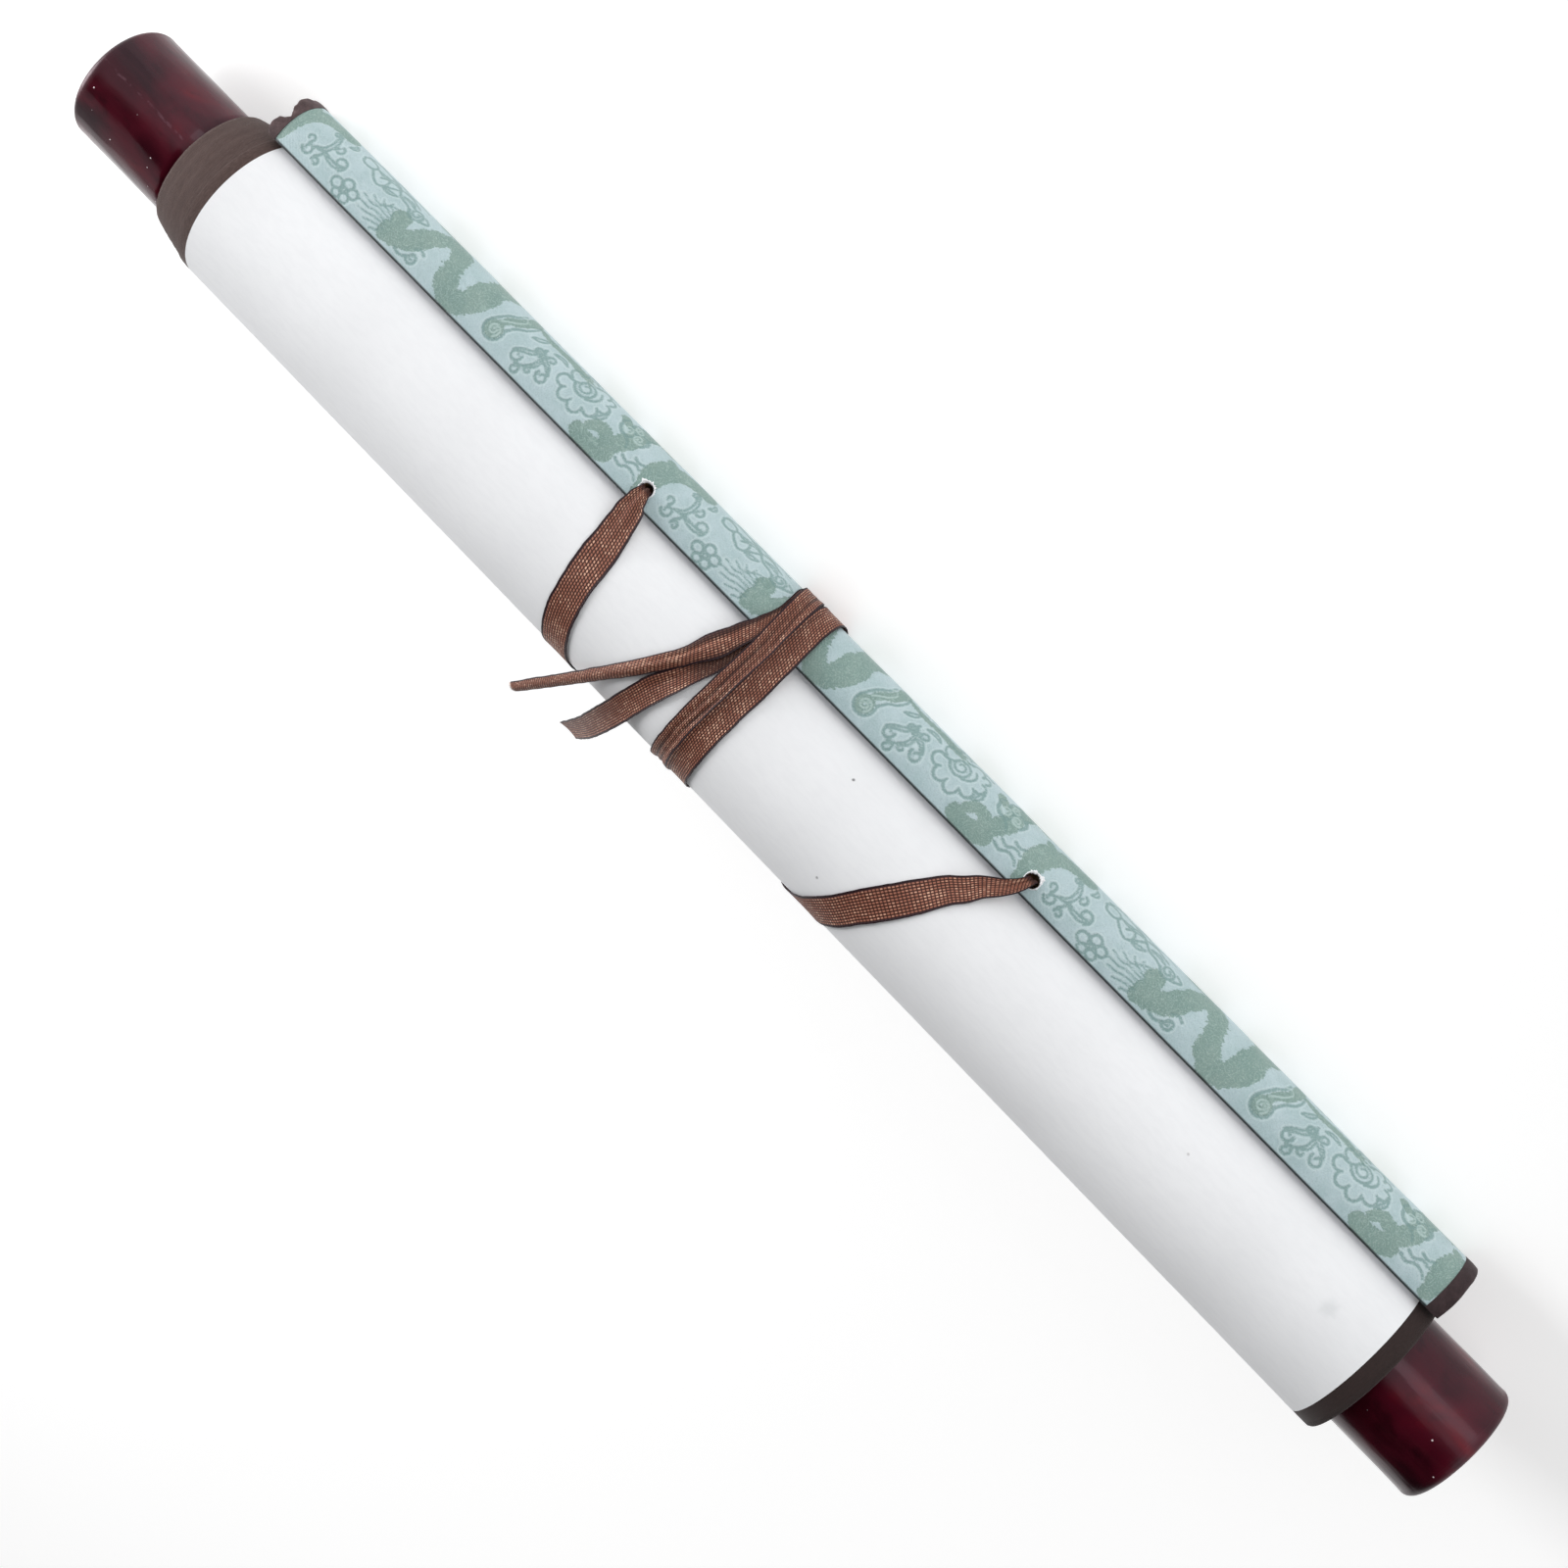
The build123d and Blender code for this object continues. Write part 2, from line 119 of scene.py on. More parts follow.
def wobble(x, seed, scale=1.0):
    """Smooth one-dimensional noise, about -1..1."""
    x = x / scale
    i = math.floor(x)
    t = x - i
    t = t * t * (3 - 2 * t)
    return 2 * (hashed(i, seed) * (1 - t) + hashed(i + 1, seed) * t) - 1


# ---- mesh helpers ----------------------------------------------------------
def build(name, points, faces, material, replaces=(), attributes=(), flat=False):
    """A mesh piece from points in millimetres, riding on the one body."""
    me = bpy.data.meshes.new(name)
    me.from_pydata((np.asarray(points, float) * MM).tolist(), [], faces)
    me.update()
    for key, kind, values in attributes:
        layer = me.attributes.new(key, kind, "POINT")
        values = np.asarray(values, np.float32)
        layer.data.foreach_set("vector" if kind == "FLOAT_VECTOR" else "value", values.ravel())
    me.polygons.foreach_set("use_smooth", [not flat] * len(me.polygons))
    me.set_sharp_from_angle(angle=math.radians(48))
    me.materials.append(material)
    obj = bpy.data.objects.new(name, me)
    bpy.context.scene.collection.objects.link(obj)
    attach(obj, "root")
    if replaces:
        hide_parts(*replaces)
    return obj


def grid_faces(nu, nv, close_u=False, close_v=False, start=0, flip=False):
    """Quads over a grid of nu rows of nv points."""
    faces = []
    for i in range(nu if close_u else nu - 1):
        for j in range(nv if close_v else nv - 1):
            a = start + i * nv + j
            b = start + i * nv + (j + 1) % nv
            c = start + ((i + 1) % nu) * nv + (j + 1) % nv
            d = start + ((i + 1) % nu) * nv + j
            faces.append((a, d, c, b) if flip else (a, b, c, d))
    return faces


# ---- materials ----------------------------------------------------------------
class Look:
    """A material and short ways to add nodes to it."""

    def __init__(self, name, **sockets):
        self.mat = bpy.data.materials.new(name)
        self.mat.use_nodes = True
        self.tree = self.mat.node_tree
        self.bsdf = self.tree.nodes["Principled BSDF"]
        for key, value in sockets.items():
            self.bsdf.inputs[key.replace("_", " ")].default_value = value

    def node(self, kind, inputs=None, **props):
        n = self.tree.nodes.new(kind)
        for key, value in props.items():
            setattr(n, key, value)
        for key, value in (inputs or {}).items():
            self.put(n.inputs[key], value)
        return n

    def put(self, socket, value):
        if isinstance(value, bpy.types.NodeSocket):
            self.tree.links.new(value, socket)
        else:
            socket.default_value = value

    def math(self, op, a, b=0.0, c=0.0, clamp=False):
        n = self.node("ShaderNodeMath", {0: a, 1: b, 2: c}, operation=op, use_clamp=clamp)
        return n.outputs[0]

    def attr(self, name, out="Fac"):
        return self.node("ShaderNodeAttribute", attribute_name=name).outputs[out]

    def coords(self, name):
        return self.node("ShaderNodeAttribute", attribute_name=name).outputs["Vector"]

    def object(self):
        return self.node("ShaderNodeTexCoord").outputs["Object"]

    def stretch(self, vector, scale):
        return self.node(
            "ShaderNodeVectorMath", {0: vector, 1: scale}, operation="MULTIPLY"
        ).outputs[0]

    def noise(self, vector, scale, detail=2.0, rough=0.5, distortion=0.0):
        n = self.node(
            "ShaderNodeTexNoise",
            {
                "Vector": vector,
                "Scale": scale,
                "Detail": detail,
                "Roughness": rough,
                "Distortion": distortion,
            },
        )
        return n.outputs["Fac"]

    def ramp(self, value, low, high, to_low=0.0, to_high=1.0, kind="SMOOTHSTEP"):
        n = self.node(
            "ShaderNodeMapRange",
            {
                "Value": value,
                "From Min": low,
                "From Max": high,
                "To Min": to_low,
                "To Max": to_high,
            },
            interpolation_type=kind,
        )
        return n.outputs["Result"]

    def mix(self, fac, a, b, blend="MIX"):
        n = self.node("ShaderNodeMix", data_type="RGBA", blend_type=blend)
        self.put(n.inputs[0], fac)
        self.put(n.inputs[6], a)
        self.put(n.inputs[7], b)
        return n.outputs[2]

    def bump(self, height, distance, strength=1.0, normal=None):
        inputs = {"Height": height, "Distance": distance, "Strength": strength}
        if normal is not None:
            inputs["Normal"] = normal
        return self.node("ShaderNodeBump", inputs).outputs["Normal"]

    def color(self, value):
        self.put(self.bsdf.inputs["Base Color"], value)

    def rough(self, value):
        self.put(self.bsdf.inputs["Roughness"], value)

    def normal(self, value):
        self.put(self.bsdf.inputs["Normal"], value)


def rgb(r, g, b):
    """Scene colour from the 0..255 numbers a picture shows."""

    def lin(c):
        c /= 255.0
        return c / 12.92 if c <= 0.04045 else ((c + 0.055) / 1.055) ** 2.4

    return (lin(r), lin(g), lin(b), 1.0)


def satin_look():
    """Brown satin ribbon: rows of short bright floats with painted glints, dark selvedges, and painted shade in its
    folds.
    """
    k = Look("ribbon_satin", Roughness=0.5, IOR=1.45)
    k.bsdf.inputs["Specular IOR Level"].default_value = 0.3
    cloth = k.coords("cloth")  # across, along, both in mm
    xyz = k.node("ShaderNodeSeparateXYZ", {0: cloth}).outputs
    across = k.math("DIVIDE", xyz[0], 0.70)
    col = k.math("FLOOR", across)
    along = k.math("ADD", k.math("DIVIDE", xyz[1], 0.84), k.math("MULTIPLY", across, 0.38))
    row = k.math("FLOOR", along)
    cell = k.node("ShaderNodeCombineXYZ", {0: col, 1: row, 2: 3.0}).outputs[0]
    chance = k.node("ShaderNodeTexWhiteNoise", {"Vector": cell}, noise_dimensions="3D").outputs["Value"]
    fx = k.math("ABSOLUTE", k.math("SUBTRACT", k.math("FRACT", across), 0.5))
    fy = k.math("ABSOLUTE", k.math("SUBTRACT", k.math("FRACT", along), 0.5))
    dash = k.math(
        "MULTIPLY", k.ramp(fx, 0.46, 0.08), k.ramp(fy, 0.5, 0.18)
    )
    broad = k.noise(cloth, 0.22, 3.0, 0.6)
    # which floats get a painted glint
    bright = k.math("MULTIPLY", dash, k.ramp(chance, 0.1, 1.0, 0.25, 1.0))
    bright = k.math("MULTIPLY", bright, k.ramp(broad, 0.25, 0.72, 0.4, 1.0))
    base = k.mix(dash, rgb(52, 25, 19), rgb(164, 104, 83))
    base = k.mix(k.ramp(broad, 0.3, 0.7), base, k.mix(dash, rgb(62, 32, 26), rgb(176, 118, 96)))
    # painted glint: a pale colour on the brightest floats stands in for their shine
    base = k.mix(k.ramp(bright, 0.3, 1.0), base, rgb(238, 190, 162))
    # painted shade: the fold attribute darkens the ribbon in fold valleys, deep in the hole and near the knot
    fold = k.attr("fold")
    base = k.mix(k.ramp(fold, 0.1, 1.0, 0.0, 0.85), base, rgb(40, 17, 15))
    edge = k.attr("edge")  # mm from the nearer selvedge
    ragged = k.noise(k.stretch(cloth, (2.0, 1.0, 1.0)), 3.0, 2.0)
    inside = k.math("ADD", edge, k.math("MULTIPLY", k.math("SUBTRACT", ragged, 0.5), 0.35))
    base = k.mix(k.ramp(inside, 0.60, 0.36), base, rgb(26, 15, 19))
    purple = k.math("MULTIPLY", k.ramp(inside, 1.0, 0.6), 0.30)
    base = k.mix(purple, base, rgb(60, 32, 40))
    tip = k.attr("tip")  # mm from the cut end
    frayed = k.math("ADD", tip, k.math("MULTIPLY", k.math("SUBTRACT", ragged, 0.5), 1.3))
    base = k.mix(k.ramp(frayed, 0.75, 0.35), base, rgb(226, 214, 208))
    k.color(base)
    k.rough(k.ramp(bright, 0.0, 1.0, 0.55, 0.32))
    height = k.math("ADD", dash, k.math("MULTIPLY", chance, 0.4))
    k.normal(k.bump(height, 0.00008, 0.9))
    return k.mat


def brocade_look():
    """Pale blue-green brocade with woven sage figures."""
    k = Look("stave_brocade", Roughness=0.5, IOR=1.45)
    k.bsdf.inputs["Sheen Weight"].default_value = 0.2
    k.bsdf.inputs["Sheen Roughness"].default_value = 0.35
    cloth = k.coords("cloth")
    xyz = k.node("ShaderNodeSeparateXYZ", {0: cloth}).outputs
    # threads: fine steps along and across give every edge its stepped outline
    steps = k.node(
        "ShaderNodeVectorMath", {0: cloth, 1: (0.24, 0.17, 1.0)}, operation="SNAP"
    ).outputs[0]
    jag = k.math("SUBTRACT", k.node("ShaderNodeTexWhiteNoise", {"Vector": steps}).outputs["Value"], 0.5)
    soft = k.math("SUBTRACT", k.noise(cloth, 2.2, 3.0, 0.6), 0.5)
    feather = k.math("SUBTRACT", k.noise(k.stretch(cloth, (0.85, 1.25, 1.0)), 1.0, 2.0, 0.6), 0.5)
    push = k.math("ADD", k.math("MULTIPLY", jag, 0.22), k.math("MULTIPLY", soft, 0.8))
    push = k.math("ADD", push, k.math("MULTIPLY", feather, 1.0))
    fill = k.ramp(k.math("ADD", k.attr("fill"), push), 0.10, -0.14)
    line_push = k.math("ADD", k.math("MULTIPLY", jag, 0.12), k.math("MULTIPLY", soft, 0.3))
    line = k.ramp(k.math("ADD", k.attr("line"), line_push), 0.16, -0.12)
    pale = k.ramp(k.math("ADD", k.attr("pale"), line_push), 0.14, -0.10)
    twill = k.node(
        "ShaderNodeTexWave",
        {"Vector": cloth, "Scale": 0.62, "Distortion": 1.2, "Detail": 1.0, "Detail Scale": 2.0},
        wave_type="BANDS",
        bands_direction="DIAGONAL",
    ).outputs["Fac"]
    cloud = k.noise(cloth, 0.16, 3.0, 0.6)
    grain = k.noise(cloth, 3.6, 2.0, 0.7)
    ground = k.mix(k.ramp(cloud, 0.3, 0.7), rgb(160, 184, 187), rgb(176, 196, 201))
    ground = k.mix(k.ramp(grain, 0.35, 0.75, 0.0, 0.5), ground, rgb(192, 208, 211))
    sage = k.mix(k.ramp(cloud, 0.3, 0.7), rgb(112, 141, 134), rgb(126, 151, 143))
    sage = k.mix(k.ramp(grain, 0.4, 0.75, 0.0, 0.55), sage, rgb(146, 168, 160))
    base = k.mix(k.math("MULTIPLY", fill, 0.96), ground, sage)
    swirl = k.math("FRACT", k.math("MULTIPLY", k.noise(cloth, 0.30, 1.0, 0.5), 11.0))
    vein = k.ramp(k.math("ABSOLUTE", k.math("SUBTRACT", swirl, 0.5)), 0.15, 0.04)
    vein = k.math("MULTIPLY", k.math("MULTIPLY", vein, fill), k.ramp(grain, 0.3, 0.6, 0.15, 0.5))
    base = k.mix(vein, base, rgb(160, 184, 178))
    # painted highlight: a pale rim beside the figure's lines stands in for light on their raised edges
    rim = k.math("MULTIPLY", k.ramp(k.attr("line"), 0.62, 0.40), k.ramp(k.attr("line"), 0.14, 0.34))
    rim = k.math("MULTIPLY", rim, k.ramp(fill, 0.0, 0.7, 0.45, 0.06))
    base = k.mix(rim, base, rgb(196, 212, 213))
    base = k.mix(k.math("MULTIPLY", line, 0.78), base, rgb(114, 145, 142))
    base = k.mix(k.math("MULTIPLY", pale, 0.75), base, rgb(176, 198, 196))
    fleck = k.ramp(jag, 0.28, 0.5, 0.0, 0.22)
    base = k.mix(fleck, base, rgb(206, 220, 220))
    dark_fleck = k.ramp(jag, -0.3, -0.5, 0.0, 0.2)
    base = k.mix(dark_fleck, base, rgb(104, 130, 130))
    # painted shadow: a near-black strip along the roll-side edge stands in for the shade in the gap between stave and
    # paper
    under = k.ramp(xyz[1], 0.80, 0.30)
    base = k.mix(k.math("MULTIPLY", under, 0.96), base, rgb(18, 22, 25))
    k.color(base)
    k.rough(k.ramp(fill, 0.0, 1.0, 0.46, 0.6))
    height = k.math("ADD", k.math("MULTIPLY", fill, -0.7), k.math("MULTIPLY", twill, 0.55))
    height = k.math("ADD", height, k.math("MULTIPLY", line, -0.8))
    height = k.math("ADD", height, k.math("MULTIPLY", jag, 0.8))
    k.normal(k.bump(height, 0.00006, 0.8))
    return k.mat


def paper_look():
    """Matte white backing paper with fibres, specks and a faint smudge."""
    k = Look("backing_paper", Roughness=0.72, IOR=1.4)
    k.bsdf.inputs["Specular IOR Level"].default_value = 0.35
    place = k.object()
    fibre = k.noise(k.stretch(place, (260.0, 900.0, 900.0)), 1.0, 2.0, 0.6)
    cloud = k.noise(place, 22.0, 2.0, 0.55)
    base = k.mix(k.ramp(cloud, 0.3, 0.7), rgb(231, 232, 234), rgb(237, 238, 240))
    base = k.mix(k.ramp(fibre, 0.35, 0.7, 0.0, 0.18), base, rgb(222, 223, 226))
    grimy = k.math("MULTIPLY", k.math("SUBTRACT", k.noise(place, 420.0), 0.5), 0.003)
    for spot, size, shade, deep in (
        ((-0.17095, -0.01106, 0.03205), 0.0026, rgb(120, 134, 134), 0.13),
        ((-0.02695, -0.01424, 0.0265), 0.00045, rgb(70, 66, 70), 0.75),
        ((-0.03595, 0.0017, 0.03903), 0.0004, rgb(80, 74, 76), 0.6),
        ((-0.13, -0.0119, 0.0308), 0.0005, rgb(120, 112, 108), 0.4),
    ):
        away = k.node("ShaderNodeVectorMath", {0: place, 1: spot}, operation="DISTANCE").outputs["Value"]
        away = k.math("ADD", away, k.math("MULTIPLY", grimy, min(1.0, size / 0.002)))
        base = k.mix(k.ramp(away, size, size * 0.25, 0.0, deep), base, shade)
    k.color(base)
    k.rough(k.ramp(fibre, 0.3, 0.7, 0.68, 0.78))
    k.normal(k.bump(k.math("ADD", fibre, k.math("MULTIPLY", cloud, 2.0)), 0.00004, 0.6))
    return k.mat


def edging_look():
    """Brown mounting cloth: fine weave, with streaks along the turns."""
    k = Look("edging_cloth", Roughness=0.8, IOR=1.42)
    k.bsdf.inputs["Specular IOR Level"].default_value = 0.3
    k.bsdf.inputs["Sheen Weight"].default_value = 0.08
    k.bsdf.inputs["Sheen Roughness"].default_value = 0.5
    cloth = k.coords("cloth")  # mm round the roll, mm across the cloth
    streak = k.noise(k.stretch(cloth, (0.75, 3.2, 1.0)), 1.0, 4.0, 0.75)
    weave = k.noise(k.stretch(cloth, (2.4, 4.2, 1.0)), 1.0, 2.0, 0.75)
    cloud = k.noise(cloth, 0.12, 3.0, 0.6)
    base = k.mix(k.ramp(streak, 0.32, 0.7), rgb(58, 43, 40), rgb(82, 64, 60))
    base = k.mix(k.ramp(cloud, 0.3, 0.75, 0.0, 0.5), base, rgb(76, 58, 54))
    base = k.mix(k.ramp(weave, 0.52, 0.82, 0.0, 0.5), base, rgb(116, 96, 90))
    base = k.mix(k.ramp(weave, 0.44, 0.24, 0.0, 0.5), base, rgb(36, 26, 24))
    worn = k.attr("worn")
    base = k.mix(k.math("MULTIPLY", worn, k.ramp(streak, 0.35, 0.7, 0.1, 0.8)), base, rgb(130, 113, 109))
    # painted shade: the edging at the -X end is darkened
    base = k.mix(k.math("MULTIPLY", k.attr("painted_end_shade"), 0.72), base, rgb(30, 22, 22))
    k.color(base)
    k.rough(k.ramp(weave, 0.3, 0.7, 0.72, 0.88))
    k.normal(k.bump(k.math("ADD", streak, k.math("MULTIPLY", weave, 1.4)), 0.00007, 0.8))
    return k.mat


def cap_look():
    """The same brown cloth over the stave's ends, darker and smoother."""
    k = Look("cap_cloth", Roughness=0.78, IOR=1.42)
    k.bsdf.inputs["Specular IOR Level"].default_value = 0.3
    k.bsdf.inputs["Sheen Weight"].default_value = 0.08
    cloth = k.coords("cloth")
    weave = k.noise(k.stretch(cloth, (3.2, 2.0, 1.0)), 1.0, 3.0, 0.7)
    cloud = k.noise(cloth, 0.35, 3.0, 0.6)
    base = k.mix(k.ramp(cloud, 0.3, 0.7), rgb(62, 48, 49), rgb(88, 70, 71))
    base = k.mix(k.ramp(weave, 0.5, 0.8, 0.0, 0.45), base, rgb(128, 110, 110))
    base = k.mix(k.ramp(weave, 0.42, 0.25, 0.0, 0.4), base, rgb(44, 34, 36))
    # painted shade: the cap at the -X end is darkened
    base = k.mix(k.math("MULTIPLY", k.attr("painted_end_shade"), 0.62), base, rgb(34, 24, 27))
    k.color(base)
    k.rough(k.ramp(weave, 0.3, 0.7, 0.7, 0.86))
    k.normal(k.bump(weave, 0.0001, 0.8))
    return k.mat


def lacquer_look():
    """Glossy dark red lacquer, clouded with black, over turned wood."""
    k = Look("knob_lacquer", Roughness=0.15, IOR=1.45)
    k.bsdf.inputs["Specular IOR Level"].default_value = 0.42
    k.bsdf.inputs["Specular Tint"].default_value = (1.0, 0.80, 0.90, 1.0)
    place = k.object()
    cloud = k.noise(k.stretch(place, (52.0, 84.0, 84.0)), 1.0, 2.4, 0.5, 0.35)
    blotch = k.noise(k.stretch(place, (130.0, 190.0, 190.0)), 1.0, 2.2, 0.5, 0.2)
    grain = k.noise(k.stretch(place, (55.0, 900.0, 900.0)), 1.0, 3.0, 0.6)
    base = k.mix(k.ramp(cloud, 0.34, 0.62), rgb(32, 6, 13), rgb(68, 11, 25))
    base = k.mix(k.ramp(cloud, 0.58, 0.78, 0.0, 0.8), base, rgb(104, 8, 20))
    base = k.mix(k.ramp(blotch, 0.44, 0.30, 0.0, 0.5), base, rgb(22, 5, 10))
    base = k.mix(k.ramp(grain, 0.4, 0.75, 0.0, 0.22), base, rgb(64, 22, 28))
    dust = k.node(
        "ShaderNodeTexVoronoi", {"Vector": place, "Scale": 430.0, "Randomness": 1.0}
    ).outputs
    pick = k.node("ShaderNodeSeparateColor", {0: dust["Color"]}).outputs
    grit = k.math("MULTIPLY", k.ramp(dust["Distance"], 0.105, 0.055), k.ramp(pick[1], 0.72, 0.80))
    # a scratchy seam that runs along the turned wood
    parts = k.node("ShaderNodeSeparateXYZ", {0: place}).outputs
    off = k.math(
        "ADD",
        k.math("MULTIPLY", k.math("SUBTRACT", parts["Y"], AXIS_Y * MM), 0.640),
        k.math("MULTIPLY", k.math("SUBTRACT", parts["Z"], AXIS_Z * MM), 0.768),
    )
    off = k.math("ADD", off, k.math("MULTIPLY", k.math("SUBTRACT", k.noise(place, 260.0, 3.0), 0.5), 0.0016))
    seam = k.math("MULTIPLY", k.ramp(k.math("ABSOLUTE", off), 0.00042, 0.00008), k.ramp(k.noise(place, 420.0, 2.0, 0.7), 0.40, 0.62))
    front = k.math(
        "ADD",
        k.math("MULTIPLY", k.math("SUBTRACT", parts["Y"], AXIS_Y * MM), -0.768),
        k.math("MULTIPLY", k.math("SUBTRACT", parts["Z"], AXIS_Z * MM), 0.640),
    )
    seam = k.math("MULTIPLY", seam, k.math("MULTIPLY", k.ramp(parts["X"], 0.0, 0.01), k.ramp(front, 0.0132, 0.0142)))
    base = k.mix(k.math("MULTIPLY", seam, 0.22), base, rgb(132, 96, 108))
    base = k.mix(grit, base, rgb(226, 214, 216))
    k.color(base)
    rounded = k.ramp(k.math("ABSOLUTE", parts["X"]), 0.2085, 0.2112, 0.0, 0.26)
    gloss = k.math("ADD", k.ramp(cloud, 0.3, 0.7, 0.12, 0.20), rounded)
    k.rough(k.math("ADD", gloss, k.math("MULTIPLY", grit, 0.5)))
    swell = k.noise(k.stretch(place, (70.0, 260.0, 260.0)), 1.0, 2.0, 0.5)
    height = k.math("ADD", k.math("MULTIPLY", swell, 1.0), k.math("MULTIPLY", grain, 0.10))
    height = k.math("ADD", height, k.math("MULTIPLY", grit, 0.25))
    k.normal(k.bump(height, 0.00022, 0.55))
    return k.mat


def wood_look():
    """Plain pale softwood."""
    k = Look("bare_wood", Roughness=0.65, IOR=1.45)
    place = k.object()
    grain = k.noise(k.stretch(place, (9.0, 420.0, 420.0)), 1.0, 4.0, 0.6, 0.4)
    pore = k.noise(k.stretch(place, (60.0, 1600.0, 1600.0)), 1.0, 2.0, 0.6)
    base = k.mix(k.ramp(grain, 0.3, 0.7), rgb(176, 138, 98), rgb(212, 178, 136))
    base = k.mix(k.ramp(pore, 0.62, 0.75, 0.0, 0.5), base, rgb(132, 96, 64))
    k.color(base)
    k.rough(k.ramp(grain, 0.3, 0.7, 0.6, 0.75))
    k.normal(k.bump(grain, 0.0001, 0.6))
    return k.mat


SATIN = satin_look()
BROCADE = brocade_look()
PAPER = paper_look()
EDGE_CLOTH = edging_look()
CAP_CLOTH = cap_look()
LACQUER = lacquer_look()
WOOD = wood_look()


# ---- camera --------------------------------------------------------------
def camera():
    up = math.radians(STAVE_ANGLE + 70.0 - 90.0)
    toward = Vector((0.0, -math.cos(up), math.sin(up)))
    side = Vector((0.0, -math.sin(up), -math.cos(up)))
    along_x = Vector((-1.0, 0.0, 0.0))

    def world(x, s, z):
        return along_x * x + side * s + toward * z

    a1, a2, a3 = -0.1465, -0.0079, 0.0127
    fw = Vector((math.sin(a1) * math.cos(a2), math.sin(a2), -math.cos(a1) * math.cos(a2)))
    t = Vector((1.0, 0.0, 0.0))
    t = (t - fw * t.dot(fw)).normalized()
    s = t.cross(fw)
    if s[1] < 0:
        s = -s
    tt = t * math.cos(a3) + s * math.sin(a3)
    ss = s * math.cos(a3) - t * math.sin(a3)
    right_w = world(*((tt + ss) / math.sqrt(2)))
    up_w = world(*((ss - tt) / math.sqrt(2)))
    back = -world(*fw)
    place = Vector((SHEET_X, AXIS_Y, AXIS_Z)) + world(82.004, 0.0, 514.098)
    cam = bpy.data.cameras.new("view")
    cam.sensor_width = 36.0
    cam.sensor_fit = "HORIZONTAL"
    cam.lens = 2425.54 * 36.0 / 1600.0
    cam.clip_start = 0.01
    cam.clip_end = 20.0
    obj = bpy.data.objects.new("view", cam)
    bpy.context.scene.collection.objects.link(obj)
    obj.matrix_world = Matrix(
        (
            (right_w.x, up_w.x, back.x, place.x * MM),
            (right_w.y, up_w.y, back.y, place.y * MM),
            (right_w.z, up_w.z, back.z, place.z * MM),
            (0, 0, 0, 1),
        )
    )
    bpy.context.scene.camera = obj


camera()


# ---- the ribbons -------------------------------------------------------------
def outline(run):
    """Point and outward direction (y, z) of the tight outline round roll and stave."""
    run = run % T
    if run <= ROLL_ARC:
        n = direction(FIRST + math.degrees(run / ROLL_R))
        return AXIS + ROLL_R * n, n
    run -= ROLL_ARC
    if run <= BRIDGE:
        n = direction(STAVE_ANGLE - TOUCH)
        a, b = AXIS + ROLL_R * n, STAVE_C + STAVE_R * n
        return a + (b - a) * (run / BRIDGE), n
    run -= BRIDGE
    if run <= STAVE_ARC:
        n = direction(STAVE_ANGLE - TOUCH + math.degrees(run / STAVE_R))
        return STAVE_C + STAVE_R * n, n
    run -= STAVE_ARC
    n = direction(FIRST)
    a, b = STAVE_C + STAVE_R * n, AXIS + ROLL_R * n
    return a + (b - a) * (run / BRIDGE), n


def along(table, run):
    """Smooth value from a table of (run, value)."""
    if run <= table[0][0]:
        return table[0][1]
    if run >= table[-1][0]:
        (a, va), (b, vb) = table[-2], table[-1]
        return vb + (vb - va) / (b - a) * (run - b)
    i = 0
    while table[i + 1][0] < run:
        i += 1
    slopes = []
    for k in (i, i + 1):
        lo, hi = max(k - 1, 0), min(k + 1, len(table) - 1)
        slopes.append((table[hi][1] - table[lo][1]) / (table[hi][0] - table[lo][0]))
    (a, va), (b, vb) = table[i], table[i + 1]
    h = b - a
    t = (run - a) / h
    return (
        (2 * t**3 - 3 * t**2 + 1) * va
        + (t**3 - 2 * t**2 + t) * h * slopes[0]
        + (-2 * t**3 + 3 * t**2) * vb
        + (t**3 - t**2) * h * slopes[1]
    )


def flat_along(table, run):
    """Value from a table of (run, value) that never overshoots."""
    if run <= table[0][0]:
        return table[0][1]
    for (a, va), (b, vb) in zip(table, table[1:]):
        if run <= b:
            return va + (vb - va) * smooth(a, b, run)
    return table[-1][1]


class Tail:
    """The free end: it follows the roll, lifts off it and droops behind."""

    def __init__(self, lift, points):
        self.lift = lift
        self.points = np.array(points) + AXIS
        steps = np.hypot(*np.diff(self.points, axis=0).T)
        self.length = np.concatenate(([0.0], np.cumsum(steps)))
        turn = np.diff(self.points, axis=0) / steps[:, None]
        normals = np.stack((-turn[:, 1], turn[:, 0]), 1)
        mid = (self.length[1:] + self.length[:-1]) / 2
        self.mid, self.normals = mid, normals

    def at(self, run):
        s = min(max(run - self.lift, 0.0), self.length[-1])
        point = np.array([np.interp(s, self.length, self.points[:, i]) for i in (0, 1)])
        n = np.array([np.interp(s, self.mid, self.normals[:, i]) for i in (0, 1)])
        return point, n / np.hypot(*n)


